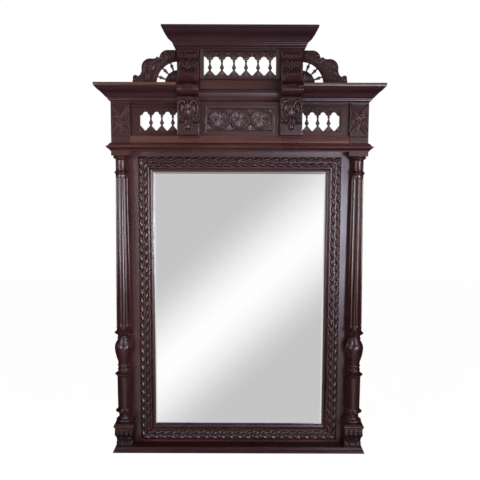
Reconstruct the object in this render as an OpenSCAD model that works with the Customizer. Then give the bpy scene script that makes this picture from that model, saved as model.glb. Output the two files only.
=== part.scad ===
/* [Mirror opening] */
// Visible width of the glass
sight_w = 740; // [600:5:900]
// Visible height of the glass
sight_h = 1119; // [900:5:1300]
// Width of the plain cove next to the glass
cove_w = 22; // [16:1:30]
// Width of the carved band outside the cove
band_w = 41; // [32:1:52]
// Thickness of the glass
glass_t = 5; // [3:0.5:6]
// How far the glass reaches behind the moulding on each side
glass_lap = 8; // [5:0.5:10]

/* [Main boards] */
// Thickness of the stiles and rails
board_t = 30; // [26:1:36]
// Width of the plain board showing outside the carved band
margin_w = 95; // [90:1:110]
// Height of the plain board above the carved band
top_strip = 21; // [12:1:40]
// Height of the plain board below the carved band
bottom_strip = 12; // [10:1:40]
// Length of the tenons on the rails
tenon_l = 40; // [25:1:60]
// Clearance of a tenon in its mortise, each side
tenon_gap = 0.2; // [0.1:0.05:0.5]
// Thickness of the softwood boards behind the glass
back_t = 8; // [6:0.5:9]

/* [Ledge] */
// Height of the moulded ledge at the bottom
ledge_h = 22; // [18:1:40]
// Depth of the ledge's top in front of the boards
ledge_front = 63; // [56:1:80]
// How far the ledge's lower edge flares out
ledge_flare = 11; // [6:0.5:18]

/* [Columns] */
// Height of the carved bracket under each column, without its cap
bracket_h = 92; // [70:1:120]
// Width of that bracket
bracket_w = 78; // [66:1:80]
// Height of the square cap on the bracket
bracket_cap_h = 18; // [12:1:24]
// Overhang of the cap beyond the bracket
cap_over = 5; // [3:0.5:8]
// Height of the turned baluster under the fluted shaft
baluster_h = 409; // [380:1:460]
// Largest radius of the vase and of the turned collars
vase_r = 40; // [36:0.5:42]
// Radius of the plain lower shaft
lower_shaft_r = 30; // [27:0.5:32]
// Radius of the fluted shaft at its foot
shaft_foot_r = 31; // [28:0.5:33]
// Radius of the fluted shaft at its top
shaft_top_r = 24; // [22:0.5:26]
// Number of flutes on each shaft
flute_count = 8; // [6:1:10]
// Width of each flute
flute_w = 15; // [9:0.5:15]
// Radius of the turned dowels that join the column's pieces
dowel_r = 9; // [7:0.5:10]
// Length of those dowels
dowel_l = 20; // [12:1:24]
// Clearance round a dowel in its bore
dowel_gap = 0.15; // [0.05:0.05:0.4]
// Width of the square block on each capital
capital_w = 78; // [72:1:80]
// Height of that block
capital_block_h = 19; // [14:1:26]
// Height of the turned part of the capital
capital_turn_h = 19; // [14:1:26]

/* [Frieze] */
// Height of the pointed moulding under the frieze
string_h = 34; // [26:1:44]
// How far that moulding's edge stands out
string_out = 15; // [8:0.5:20]
// Distance from the boards to the front of the end blocks
block_front = 76; // [70:1:84]
// Width of each end block
block_w = 78; // [66:1:84]
// Height of the frieze
frieze_h = 164; // [150:1:190]
// Height of the plain rail at the foot of the frieze
plain_rail_h = 29; // [20:1:36]
// Thickness of that plain rail
plain_rail_t = 15; // [10:1:20]
// Setback of the galleries behind the end blocks' front
gallery_set = 18; // [14:1:26]
// Thickness of the gallery boards
gallery_t = 20; // [14:1:24]
// Setback of the upper gallery behind the side galleries
upper_set = 8; // [4:0.5:12]
// Width of the solid end of each side gallery
gallery_end = 38; // [24:1:50]
// Number of openings along a side gallery, the last one a half
side_bays = 3.5; // [2.5:1:4.5]
// Number of openings along the upper gallery
upper_bays = 6; // [4:1:7]

/* [Spindles] */
// Length of spindle that shows between the two edges
spindle_l = 44; // [38:0.5:50]
// Radius of a spindle's ball
spindle_ball_r = 6.8; // [4:0.1:7.5]
// Radius of a spindle's neck
spindle_neck_r = 3.3; // [2:0.1:3.8]
// Radius of the pegs at a spindle's ends
peg_r = 2.4; // [1.5:0.1:2.8]
// Length of those pegs
peg_l = 7; // [4:0.5:8]
// Clearance round a peg in its hole
peg_gap = 0.1; // [0.05:0.05:0.3]
// Rise of the scalloped edge above a gallery opening
arch_rise = 12; // [8:0.5:16]
// Fall of the edge below a gallery opening
mound_fall = 19; // [12:0.5:22]

/* [Corbels] */
// Width of each corbel
corbel_w = 90; // [76:1:100]
// Clear width between the two corbels
corbel_clear = 330; // [300:1:360]
// Distance from the boards to the front of the corbels' scrolls
scroll_front = 140; // [138:1:150]
// Distance from the boards to the front of the lower corbels
lower_corbel_front = 100; // [92:1:116]
// Thickness of the carved panel between the corbels
panel_t = 26; // [20:1:30]
// Outer radius of the three roundels
roundel_r = 42; // [34:0.5:44]
// Height of the plain band on the lower corbels, below the scroll
corbel_band_h = 13; // [8:1:18]

/* [Cornice] */
// Height of the cornice
cornice_h = 73; // [50:1:80]
// How far the cornice stands out from the end blocks
cornice_out = 58; // [46:1:62]
// Thickness of the deck board behind the cornice
deck_t = 12; // [9:1:18]

/* [Upper section] */
// Height of the upper section between cornice and crown
tower_h = 145; // [140:1:180]
// Thickness of the upper section's side boards
tower_side_t = 20; // [14:1:26]
// Height of the crown
crown_h = 82; // [64:1:100]
// How far the crown stands out from its own foot
crown_out = 49; // [36:1:58]
// How far the crown's foot stands outside the corbels
crown_foot = 11; // [4:0.5:16]
// Depth of the corbels' top in front of the boards
corbel_top_front = 72; // [66:1:80]
// Thickness of the board that closes the crown
crown_board_t = 12; // [9:1:18]

/* [Side fans] */
// Thickness of the fan boards
fan_t = 20; // [14:1:24]
// Radius of the pierced arch
fan_arch_r = 93; // [88:1:100]
// Radius of the carved hub
fan_hub_r = 56; // [50:1:64]
// Height of the rail under the fan
fan_rail_h = 7; // [7:1:14]
// Number of spindles in each fan
fan_spindle_count = 3; // [2:1:4]

/* [Hanging plates] */
// Length of each iron plate
plate_l = 74; // [60:1:90]
// Height of each iron plate
plate_h = 26; // [20:1:34]
// Thickness of each iron plate
plate_t = 3; // [2:0.5:4]
// Radius of the hole for the wall screw
wall_hole_r = 3.5; // [2.5:0.25:4.5]
// Length of the wood screws
screw_l = 22; // [16:1:24]

/* [Hidden] */

$fn = 48;
walnut = "#4a2a22";
dark_walnut = "#3a211c";
pine = "#b08a5a";

// Depths, measured from the front face of the main boards, front negative
lip_d = 13;
lip_w = 12;
glass_y = lip_d;
block_y = glass_y + glass_t;
back_y = board_t - back_t;
gallery_y = -block_front + gallery_set;
gallery_back = gallery_y + gallery_t;
origin_y = (scroll_front - board_t) / 2;

// Widths, as half widths from the centre line
sight_x = sight_w / 2;
mould_w = cove_w + band_w;
stile_x = sight_x + lip_w;
board_x = sight_x + mould_w + margin_w;
col_x = board_x - 32.5;
col_y = -(vase_r + 2);
block_x = board_x + 2;
block_in = block_x - block_w;
corbel_in = corbel_clear / 2;
corbel_out = corbel_in + corbel_w;
tower_x = corbel_out;
cornice_t = block_front + gallery_y;
crown_x = corbel_out + crown_foot;
crown_y = corbel_top_front + 3;
crown_t = 25;

// Heights above the shelf it stands on
sight_z0 = ledge_h + bottom_strip + mould_w;
sight_z1 = sight_z0 + sight_h;
rail_z0 = sight_z0 - lip_w;
rail_z1 = sight_z1 + lip_w;
string_z = sight_z1 + mould_w + top_strip;
frieze_z = string_z + string_h;
cornice_z = frieze_z + frieze_h;
deck_z = cornice_z + cornice_h;
crown_z = deck_z + tower_h;
total_h = crown_z + crown_h;
bracket_z = ledge_h + bracket_h;
base_z = bracket_z + bracket_cap_h;
shaft_z = base_z + baluster_h;
capital_z = string_z - capital_block_h - capital_turn_h;
panel_z = frieze_z + plain_rail_h;
scroll_z = cornice_z + 18;
attic_z = cornice_z + 1;
attic_top = deck_z + 25;

// Points along an arc
function arc(cx, cy, r, a0, a1, n = 6) =
    [for (i = [0:n]) let(a = a0 + (a1 - a0) * i / n) [cx + r * cos(a), cy + r * sin(a)]];

// Points along an S curve between two points, flat at both ends
function sway(x0, y0, x1, y1, n = 8) =
    [for (i = [0:n]) let(t = i / n) [x0 + (x1 - x0) * (1 - cos(180 * t)) / 2, y0 + (y1 - y0) * t]];

module in_frame() {
    translate([0, origin_y, 0]) children();
}

module box(x0, x1, y0, y1, z0, z1) {
    translate([x0, y0, z0]) cube([x1 - x0, y1 - y0, z1 - z0]);
}

// A section given as (y, z), run along x
module along_x(x0, x1) {
    translate([x0, 0, 0]) rotate([90, 0, 90]) linear_extrude(x1 - x0) children();
}

// A section given as (x, z), run along y
module along_y(y0, y1) {
    translate([0, y1, 0]) rotate([90, 0, 0]) linear_extrude(y1 - y0) children();
}

module bore_y(x, z, r, y0, y1) {
    translate([x, y1, z]) rotate([90, 0, 0]) cylinder(r = r, h = y1 - y0);
}

// The left-hand copy of a piece drawn on the right
module left_hand() {
    mirror([1, 0, 0]) children();
}

// Screws: their places, shape and holes
screw_r = 2;
screw_head_r = 4;
screw_gap = 0.1;
back_board_count = 5;
back_lap = 30;
back_x = stile_x + back_lap;
back_board_w = 2 * back_x / back_board_count;
back_screw_in = 15;

back_screw_places = [
    for (i = [0:back_board_count - 1], side = [-1, 1], end = [0, 1])
        [-back_x + (i + 0.5 + side * 0.25) * back_board_w,
         end == 0 ? rail_z0 - back_screw_in : rail_z1 + back_screw_in]
];

plate_z = cornice_z - 30;
plate_x0 = block_in - 28;
wall_hole_x = plate_x0 + 14;
plate_screw_xs = [block_in + 12, block_in + 34];

module wood_screw() {
    rotate([90, 0, 0]) cylinder(r1 = screw_head_r, r2 = screw_r, h = 2);
    rotate([90, 0, 0]) cylinder(r = screw_r, h = screw_l);
}

module screw_hole() {
    translate([0, 0.5, 0]) rotate([90, 0, 0]) cylinder(r = screw_head_r + screw_gap, h = 0.5);
    rotate([90, 0, 0]) cylinder(r1 = screw_head_r + screw_gap, r2 = screw_r + screw_gap, h = 2);
    rotate([90, 0, 0]) cylinder(r = screw_r + screw_gap, h = screw_l + 1);
}

module back_screw_holes() {
    for (p = back_screw_places) translate([p[0], board_t, p[1]]) screw_hole();
}

module plate_screw_holes() {
    for (x = plate_screw_xs) translate([x, board_t, plate_z]) screw_hole();
}

// Main boards
module tenons(z0, z1, gap) {
    inset = 10;
    for (side = [-1, 1])
        box(min(side * (stile_x - 1), side * (stile_x + tenon_l + gap)),
            max(side * (stile_x - 1), side * (stile_x + tenon_l + gap)),
            9 - gap, 18 + gap, z0 + inset - gap, z1 - inset + gap);
}

module back_rebate() {
    box(-back_x, back_x, back_y, board_t + 1, rail_z0 - back_lap, rail_z1 + back_lap);
}

module stile() {
    color(walnut) in_frame() difference() {
        box(stile_x, board_x, 0, board_t, ledge_h, string_z);
        tenons(ledge_h, rail_z0, tenon_gap);
        tenons(rail_z1, string_z, tenon_gap);
        back_rebate();
        back_screw_holes();
    }
}

module rail(z0, z1) {
    color(walnut) in_frame() difference() {
        union() {
            box(-stile_x, stile_x, 0, board_t, z0, z1);
            tenons(z0, z1, 0);
        }
        back_rebate();
        back_screw_holes();
    }
}

// Frame moulding: carved band outside, cove inside, a lip behind for the glass
band_d = 12;
band_edge_d = 8;
cove_lip_y = 5;

function frame_section() = concat(
    [[0, lip_d], [0, cove_lip_y], [2, cove_lip_y - 1]],
    arc(2, cove_lip_y - 12.5, 11.5, 90, 10, 5),
    [[cove_w - 5, -band_edge_d + 1], [cove_w - 4, -band_edge_d - 1], [cove_w - 1, -band_edge_d - 1]],
    [for (i = [0:8]) let(t = i / 8)
        [cove_w + band_w * t, -band_edge_d - (band_d - band_edge_d) * sin(180 * t)]],
    [[mould_w, 0], [lip_w, 0], [lip_w, lip_d]]
);

module frame_side() {
    color(dark_walnut) in_frame() intersection() {
        translate([sight_x, 0, sight_z0 - mould_w - 1])
            linear_extrude(sight_h + 2 * mould_w + 2) polygon(frame_section());
        along_y(-band_d - 5, lip_d + 5) polygon([
            [sight_x, sight_z0], [sight_x, sight_z1],
            [sight_x + mould_w, sight_z1 + mould_w], [sight_x + mould_w, sight_z0 - mould_w]]);
    }
}

// up is 1 for the top length and -1 for the bottom one
module frame_end(up) {
    z = up > 0 ? sight_z1 : sight_z0;
    color(dark_walnut) in_frame() intersection() {
        along_x(-sight_x - mould_w - 1, sight_x + mould_w + 1)
            polygon([for (p = frame_section()) [p[1], z + up * p[0]]]);
        along_y(-band_d - 5, lip_d + 5) polygon([
            [-sight_x, z], [sight_x, z],
            [sight_x + mould_w, z + up * mould_w], [-sight_x - mould_w, z + up * mould_w]]);
    }
}

bevel_w = 16;
bevel_d = 1.5;

module mirror_glass() {
    gx = sight_x + glass_lap;
    g0 = sight_z0 - glass_lap;
    g1 = sight_z1 + glass_lap;
    y1 = glass_y + glass_t;
    color("#c8ccce") in_frame() intersection() {
        linear_extrude(g1) polygon([
            [-gx, y1], [-gx, glass_y + bevel_d], [-gx + bevel_w, glass_y],
            [gx - bevel_w, glass_y], [gx, glass_y + bevel_d], [gx, y1]]);
        along_x(-gx, gx) polygon([
            [y1, g0], [glass_y + bevel_d, g0], [glass_y, g0 + bevel_w],
            [glass_y, g1 - bevel_w], [glass_y + bevel_d, g1], [y1, g1]]);
    }
}

module glass_blocks() {
    long = 45;
    wide = lip_w;
    color(pine) in_frame() {
        for (side = [-1, 1], t = [0.1, 0.37, 0.63, 0.9])
            translate([side > 0 ? stile_x - wide : -stile_x, block_y, rail_z0 + t * (rail_z1 - rail_z0)])
                cube([wide, back_y - block_y, long]);
        for (end = [0, 1], t = [-0.6, 0, 0.6])
            translate([t * stile_x - long / 2, block_y, end == 0 ? rail_z0 : rail_z1 - wide])
                cube([long, back_y - block_y, wide]);
    }
}

module back_boards() {
    seam = 1;
    color(pine) in_frame() difference() {
        for (i = [0:back_board_count - 1])
            box(-back_x + i * back_board_w + seam / 2, -back_x + (i + 1) * back_board_w - seam / 2,
                back_y, board_t, rail_z0 - back_lap + seam / 2, rail_z1 + back_lap - seam / 2);
        back_screw_holes();
    }
}

module back_screws() {
    color("#4a4742") in_frame() {
        for (p = back_screw_places) translate([p[0], board_t, p[1]]) wood_screw();
        for (side = [-1, 1], x = plate_screw_xs) translate([side * x, board_t, plate_z]) wood_screw();
    }
}

// Ledge with a moulded edge on its front and two ends
function ledge_edge() = concat(
    [[ledge_flare, 0], [ledge_flare, 4]],
    sway(ledge_flare - 1, 6, 2, ledge_h - 5, 6),
    [[1, ledge_h - 4], [1, ledge_h - 3], [0, ledge_h - 2], [0, ledge_h]]
);

module base_ledge() {
    x = board_x + 7;
    edge = ledge_edge();
    color(walnut) in_frame() intersection() {
        along_x(-x - ledge_flare, x + ledge_flare) polygon(concat(
            [[board_t, 0]], [for (p = edge) [-ledge_front - p[0], p[1]]], [[board_t, ledge_h]]));
        along_y(-ledge_front - ledge_flare, board_t) polygon(concat(
            [for (p = edge) [x + p[0], p[1]]],
            [for (i = [len(edge) - 1:-1:0]) [-x - edge[i][0], edge[i][1]]]));
    }
}

// Bracket under a column: an S-shaped console with a square moulded cap
module bracket() {
    hw = bracket_w / 2;
    z0 = ledge_h;
    h = bracket_h;
    front = col_y - hw;
    cap_front = front - cap_over + 2;
    color(dark_walnut) in_frame() difference() {
        union() {
            translate([col_x, 0, 0]) along_x(-hw, hw) polygon(concat(
                [[0, z0], [front + 20, z0], [front + 19, z0 + 0.12 * h]],
                [for (i = [0:5]) [front + 19 + 3 * sin(36 * i), z0 + h * (0.15 + 0.06 * i)]],
                [[front + 17, z0 + 0.5 * h], [front + 7, z0 + 0.57 * h], [front - 1, z0 + 0.66 * h]],
                [for (i = [0:6]) [front - 3 + 5 * (1 - cos(15 * i)), z0 + h * (0.7 + 0.05 * i)]],
                [[0, z0 + h]]));
            translate([col_x, 0, 0]) intersection() {
                along_x(-hw - cap_over, hw + cap_over) polygon([
                    [0, bracket_z], [front, bracket_z], [cap_front + 1, bracket_z + 5],
                    [cap_front, bracket_z + 8], [cap_front, bracket_z + 11],
                    [cap_front + 2, base_z - 3], [cap_front + 5, base_z], [0, base_z]]);
                along_y(cap_front, 0) polygon([for (s = [1, -1]) each [for (p = s > 0 ? cap_edge()
                    : [for (i = [len(cap_edge()) - 1:-1:0]) cap_edge()[i]]) [s * p[0], p[1]]]]);
            }
        }
        translate([col_x, col_y, base_z - dowel_l - 1])
            cylinder(r = dowel_r + dowel_gap, h = dowel_l + 2);
    }
}

function cap_edge() = [
    [bracket_w / 2, bracket_z], [bracket_w / 2 + cap_over - 1, bracket_z + 5],
    [bracket_w / 2 + cap_over, bracket_z + 8], [bracket_w / 2 + cap_over, bracket_z + 11],
    [bracket_w / 2 + cap_over - 2, base_z - 3], [bracket_w / 2 + cap_over - 5, base_z]
];

// Turned baluster: foot, plain shaft, vase and collars, as radius and height above its foot
baluster_neck_r = 26;
collar_half = 0.026 * baluster_h;

function collar_points(z) = [
    [baluster_neck_r + 1, z - collar_half], [vase_r - 1.5, z - 1.5], [vase_r, z],
    [vase_r - 1.5, z + 1.5], [baluster_neck_r + 1, z + collar_half]
];

function vase_points() = concat(
    [for (i = [0:6]) let(t = i / 6)
        [baluster_neck_r + (vase_r - baluster_neck_r) * (1 - cos(180 * t)) / 2,
         (0.65 + 0.165 * t) * baluster_h]],
    [for (i = [1:6]) let(t = i / 6)
        [baluster_neck_r + (vase_r - baluster_neck_r) * cos(90 * t), (0.815 + 0.085 * t) * baluster_h]]
);

function baluster_points() = concat(
    [[0, 0], [vase_r - 1, 0], [vase_r - 1, 3]],
    arc(vase_r - 7, 9.5, 6.5, -80, 80, 6),
    [[28, 17], [baluster_neck_r + 1, 20], [baluster_neck_r, 26], [baluster_neck_r, 36]],
    collar_points(0.127 * baluster_h),
    [[lower_shaft_r, 0.156 * baluster_h], [lower_shaft_r + 1, 0.495 * baluster_h]],
    collar_points(0.528 * baluster_h),
    [[baluster_neck_r + 2, 0.565 * baluster_h], [baluster_neck_r + 3, 0.575 * baluster_h],
     [baluster_neck_r, 0.588 * baluster_h], [baluster_neck_r, 0.608 * baluster_h],
     [baluster_neck_r + 2, 0.616 * baluster_h], [baluster_neck_r + 2, 0.626 * baluster_h],
     [baluster_neck_r, 0.634 * baluster_h]],
    vase_points(),
    [[baluster_neck_r + 2, 0.91 * baluster_h], [baluster_neck_r + 2, 0.92 * baluster_h],
     [baluster_neck_r, 0.928 * baluster_h], [baluster_neck_r, 0.94 * baluster_h]],
    collar_points(0.972 * baluster_h),
    [[shaft_foot_r - 3, baluster_h], [0, baluster_h]]
);

module baluster() {
    color(walnut) in_frame() translate([col_x, col_y, base_z]) difference() {
        union() {
            rotate_extrude() polygon(baluster_points());
            translate([0, 0, -dowel_l]) cylinder(r = dowel_r, h = dowel_l + 1);
        }
        translate([0, 0, baluster_h - dowel_l - 1]) cylinder(r = dowel_r + dowel_gap, h = dowel_l + 2);
    }
}

// Fluted shaft, with an astragal and a plain neck above the flutes
shaft_l = capital_z - shaft_z;
neck_r = shaft_top_r - 3;
flute_foot = 24;
flute_head = 74;
flute_out = 0.2 * flute_w;

function shaft_points() = [
    [0, 0], [shaft_foot_r - 3, 0], [shaft_foot_r, 6], [shaft_foot_r, 14],
    [shaft_top_r, shaft_l - 60], [shaft_top_r + 5, shaft_l - 51], [shaft_top_r + 5.5, shaft_l - 50],
    [shaft_top_r + 5, shaft_l - 49], [neck_r + 1, shaft_l - 40], [neck_r, shaft_l - 37],
    [neck_r, shaft_l], [0, shaft_l]
];

module flute() {
    z0 = flute_foot;
    z1 = shaft_l - flute_head;
    r0 = shaft_foot_r;
    r1 = shaft_top_r;
    lean = atan((r0 - r1) / (z1 - z0));
    span = norm([r0 - r1, z1 - z0]);
    translate([r0 + flute_out, 0, z0]) rotate([0, -lean, 0]) {
        cylinder(r = flute_w / 2, h = span, $fn = 24);
        sphere(r = flute_w / 2, $fn = 24);
        translate([0, 0, span]) sphere(r = flute_w / 2, $fn = 24);
    }
}

module fluted_shaft() {
    color(walnut) in_frame() translate([col_x, col_y, shaft_z]) {
        difference() {
            rotate_extrude() polygon(shaft_points());
            for (i = [0:flute_count - 1]) rotate([0, 0, -90 + i * 360 / flute_count]) flute();
        }
        translate([0, 0, -dowel_l]) cylinder(r = dowel_r, h = dowel_l + 1);
        translate([0, 0, shaft_l - 1]) cylinder(r = dowel_r, h = dowel_l + 1);
    }
}

// Capital: its block is flush with the end block above it
module capital() {
    r = capital_w / 2 - 5;
    z1 = capital_z + capital_turn_h;
    color(walnut) in_frame() difference() {
        union() {
            box(block_x - capital_w, block_x, col_y - capital_w / 2, 0, z1, string_z);
            translate([col_x, col_y, capital_z]) rotate_extrude() polygon(concat(
                [[0, 0], [neck_r + 1, 0], [neck_r + 1, 2]],
                [for (i = [0:5]) [neck_r + 1 + (r - neck_r - 2) * (1 - cos(18 * i)), 3 + 1.6 * i]],
                [[r, capital_turn_h - 7], [r, capital_turn_h - 3], [r - 2, capital_turn_h - 2],
                 [r - 2, capital_turn_h], [0, capital_turn_h]]));
        }
        translate([col_x, col_y, capital_z - 1]) cylinder(r = dowel_r + dowel_gap, h = dowel_l + 2);
    }
}

// Mitred mouldings round three sides: x and y of the foot, depth behind it, and the section as
// (projection, height)
function out_max(section) = max([for (p = section) p[0]]);

module moulding_front(section, x, y, back, x_in) {
    m = out_max(section);
    intersection() {
        along_x(x_in, x + m) polygon(concat(
            [for (p = section) [-y - p[0], p[1]]],
            [[-y + back, section[len(section) - 1][1]], [-y + back, section[0][1]]]));
        linear_extrude(total_h) polygon(x_in < 0
            ? [[-x - m, -y - m], [x + m, -y - m], [x - back, -y + back], [-x + back, -y + back]]
            : [[x_in, -y - m], [x + m, -y - m], [x - back, -y + back], [x_in, -y + back]]);
    }
}

module moulding_return(section, x, y, back) {
    m = out_max(section);
    intersection() {
        along_y(-y - m, board_t) polygon(concat(
            [for (p = section) [x + p[0], p[1]]],
            [[x - back, section[len(section) - 1][1]], [x - back, section[0][1]]]));
        linear_extrude(total_h) polygon([
            [x - back, -y + back], [x + m, -y - m], [x + m, board_t], [x - back, board_t]]);
    }
}

// Pointed string moulding
string_y = block_front + 5;
string_x = block_x + 4;
string_back = string_y + gallery_y;

function string_section() = [
    [0, string_z], [0, string_z + 0.1 * string_h], [2, string_z + 0.13 * string_h],
    [string_out - 1, string_z + 0.46 * string_h], [string_out, string_z + 0.5 * string_h],
    [string_out - 1, string_z + 0.56 * string_h], [3, string_z + 0.8 * string_h],
    [1, string_z + 0.86 * string_h], [0, string_z + 0.92 * string_h], [-2, string_z + string_h]
];

module string_moulding() {
    color(walnut) in_frame()
        moulding_front(string_section(), string_x, string_y, string_back, -string_x - string_out);
}

module string_return() {
    color(walnut) in_frame() moulding_return(string_section(), string_x, string_y, string_back);
}

module string_board() {
    x = string_x - string_back;
    color(walnut) in_frame() box(-x, x, gallery_y, board_t, string_z, frieze_z);
}

// Frieze
module frieze_rail() {
    color(walnut) in_frame()
        box(-block_in, block_in, gallery_y - plain_rail_t, gallery_y, frieze_z, panel_z);
}

module leaf(length, width, depth) {
    r = (length * length / 4 + width * width / 4) / width;
    translate([0, 0, length / 2]) intersection() {
        translate([r - width / 2, 0, 0]) rotate([90, 0, 0]) cylinder(r = r, h = depth, center = true);
        translate([width / 2 - r, 0, 0]) rotate([90, 0, 0]) cylinder(r = r, h = depth, center = true);
    }
}

module end_block() {
    mid_x = block_x - block_w / 2;
    mid_z = panel_z + 0.47 * (cornice_z - panel_z);
    reach = 0.42 * (cornice_z - panel_z);
    color(walnut) in_frame() difference() {
        union() {
            box(block_in, block_x, -block_front, board_t, frieze_z, cornice_z);
            translate([mid_x, -block_front, mid_z])
                for (a = [26, -26, 154, 206]) rotate([0, a, 0]) translate([0, 0, 5]) leaf(reach, 20, 7);
        }
        box(block_in - 1, plate_x0 + plate_l + 0.1, board_t - plate_t, board_t + 1,
            plate_z - plate_h / 2 - 0.1, plate_z + plate_h / 2 + 0.1);
        plate_screw_holes();
    }
}

// Edges of a pierced gallery: u counts openings, spindles stand at the halves
gallery_flat = 0.3;
function gallery_arch(u) = pow(max(0, abs(cos(180 * u)) - gallery_flat) / (1 - gallery_flat), 0.75);
function gallery_edge(x0, pitch, count, z, rise) =
    [for (i = [0:8 * count]) let(u = i / 8) [x0 + u * pitch, z + rise * gallery_arch(u)]];
function gallery_edge_back(x0, pitch, count, z, rise) =
    [for (i = [8 * count:-1:0]) let(u = i / 8) [x0 + u * pitch, z + rise * gallery_arch(u)]];

side_gallery_w = block_in - corbel_out - gallery_end;
side_pitch = side_gallery_w / side_bays;
side_spindle_z = panel_z + 43;
upper_gallery_x = corbel_in - 16;
upper_pitch = 2 * upper_gallery_x / upper_bays;
upper_spindle_z = attic_top + 36;
upper_gallery_y = gallery_y + upper_set;

module spindle() {
    ball_z = 0.3 * spindle_l;
    translate([0, 0, -peg_l]) cylinder(r = peg_r, h = spindle_l + 2 * peg_l, $fn = 24);
    rotate_extrude($fn = 24) polygon(concat(
        [[0, 0.2], [spindle_neck_r + 1.2, 0.2], [spindle_neck_r + 1.2, 2], [spindle_neck_r, 4]],
        [for (i = [0:6]) let(a = -66 + i * 132 / 6)
            [spindle_ball_r * cos(a), ball_z + spindle_ball_r * sin(a)]],
        [[spindle_neck_r, 0.5 * spindle_l], [spindle_neck_r - 0.4, 0.66 * spindle_l],
         [spindle_neck_r, 0.8 * spindle_l], [spindle_neck_r + 1.6, 0.83 * spindle_l],
         [spindle_neck_r + 1.6, 0.87 * spindle_l], [spindle_neck_r, 0.9 * spindle_l],
         [spindle_neck_r + 1, 0.97 * spindle_l], [spindle_neck_r + 1, spindle_l - 0.2],
         [0, spindle_l - 0.2]]));
}

module peg_hole() {
    translate([0, 0, -peg_l - 0.5])
        cylinder(r = peg_r + peg_gap, h = spindle_l + 2 * peg_l + 1, $fn = 24);
}

module side_spindle_row() {
    for (i = [0:floor(side_bays) - 1])
        translate([corbel_out + (i + 0.5) * side_pitch, gallery_y + gallery_t / 2, side_spindle_z])
            children();
}

module upper_spindle_row() {
    for (i = [0:upper_bays - 1])
        translate([-upper_gallery_x + (i + 0.5) * upper_pitch, upper_gallery_y + gallery_t / 2,
            upper_spindle_z]) children();
}

module gallery_board() {
    top = deck_z - deck_t;
    low = side_spindle_z;
    high = side_spindle_z + spindle_l;
    color(dark_walnut) in_frame() difference() {
        union() {
            box(corbel_out, block_in, gallery_y, gallery_back, frieze_z, top);
            box(corbel_out, block_in, gallery_y - 5, gallery_y, cornice_z - 18, cornice_z - 9);
        }
        along_y(gallery_y - 1, gallery_back + 1) polygon(concat(
            gallery_edge(corbel_out, side_pitch, side_bays, low, -mound_fall),
            gallery_edge_back(corbel_out, side_pitch, side_bays, high, arch_rise)));
        side_spindle_row() peg_hole();
    }
}

module gallery_spindles() {
    color(walnut) in_frame() side_spindle_row() spindle();
}

// Panel with three roundels
module roundel() {
    rotate([90, 0, 0]) {
        difference() {
            rotate_extrude() polygon([
                [roundel_r - 8, -1], [roundel_r, -1], [roundel_r - 0.5, 3], [roundel_r - 3, 5],
                [roundel_r - 6, 4.5], [roundel_r - 8, 2]]);
        }
        for (i = [0:5]) rotate([0, 0, 30 + 60 * i])
            translate([0.48 * roundel_r, 0, -7]) sphere(r = 11);
        translate([0, 0, -1]) sphere(r = 7);
    }
}

module roundel_panel() {
    border = 33;
    x1 = corbel_in;
    z0 = panel_z;
    z1 = attic_z;
    front = gallery_y - 10;
    field_y = front + 8;
    mid_z = (z0 + z1) / 2;
    pitch = 2 * roundel_r + 3;
    color(dark_walnut) in_frame() {
        difference() {
            box(-x1, x1, front, front + panel_t, z0, z1);
            box(-x1 + border, x1 - border, front - 1, field_y, mid_z - roundel_r - 3,
                mid_z + roundel_r + 3);
        }
        for (i = [-1, 0, 1]) translate([i * pitch, field_y, mid_z]) roundel();
    }
}

// Lower corbel: a carved block that leans out towards the scroll above it
module lower_corbel() {
    f = -lower_corbel_front;
    z0 = panel_z;
    h = scroll_z - z0;
    mid = (corbel_in + corbel_out) / 2;
    color(dark_walnut) in_frame() {
        along_x(corbel_in, corbel_out) polygon([
            [gallery_back, z0], [f + 6, z0], [f, z0 + 5], [f, z0 + 0.3 * h], [f + 5, z0 + 0.33 * h],
            [f + 9, z0 + 0.42 * h], [f + 8, z0 + 0.55 * h], [f + 3, z0 + 0.68 * h],
            [f - 3, z0 + 0.78 * h], [f - 5, z0 + 0.86 * h], [f, z0 + h - corbel_band_h],
            [f - 4, z0 + h - corbel_band_h], [f - 4, z0 + h], [gallery_back, z0 + h]]);
        for (side = [-1, 1]) translate([mid + side * 9, f, z0 + 0.36 * h]) rotate([0, side * 14, 0])
            leaf(0.46 * h, 22, 15);
        translate([mid, f + 2, z0 + 0.16 * h]) sphere(r = 12);
    }
}

// Upper corbel: an acanthus-faced console that ends in a scroll
module scroll_corbel() {
    z0 = scroll_z;
    z1 = crown_z;
    top = -corbel_top_front;
    roll_r = 27;
    roll_y = -scroll_front + roll_r;
    roll_z = z0 + 31;
    color(dark_walnut) in_frame() {
        along_x(corbel_in, corbel_out) polygon(concat(
            [[gallery_back, z0], [-lower_corbel_front - 6, z0], [roll_y - 14, z0 + 8]],
            arc(roll_y, roll_z, roll_r, 220, 180, 3),
            arc(roll_y, roll_z, roll_r, 180, 90, 6),
            [for (i = [1:7]) let(t = i / 7)
                [roll_y + (top - roll_y) * pow(t, 0.6),
                 roll_z + roll_r - 2 + (z1 - roll_z - roll_r - 12) * t]],
            [[top, z1 - 12], [top, z1], [gallery_back, z1]]));
        for (side = [-1, 1])
            translate([(corbel_in + corbel_out) / 2 + side * 12, top - 4, z0 + 0.5 * (z1 - z0)])
                rotate([0, side * 10, 0]) leaf(0.42 * (z1 - z0), 24, 15);
    }
}

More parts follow.
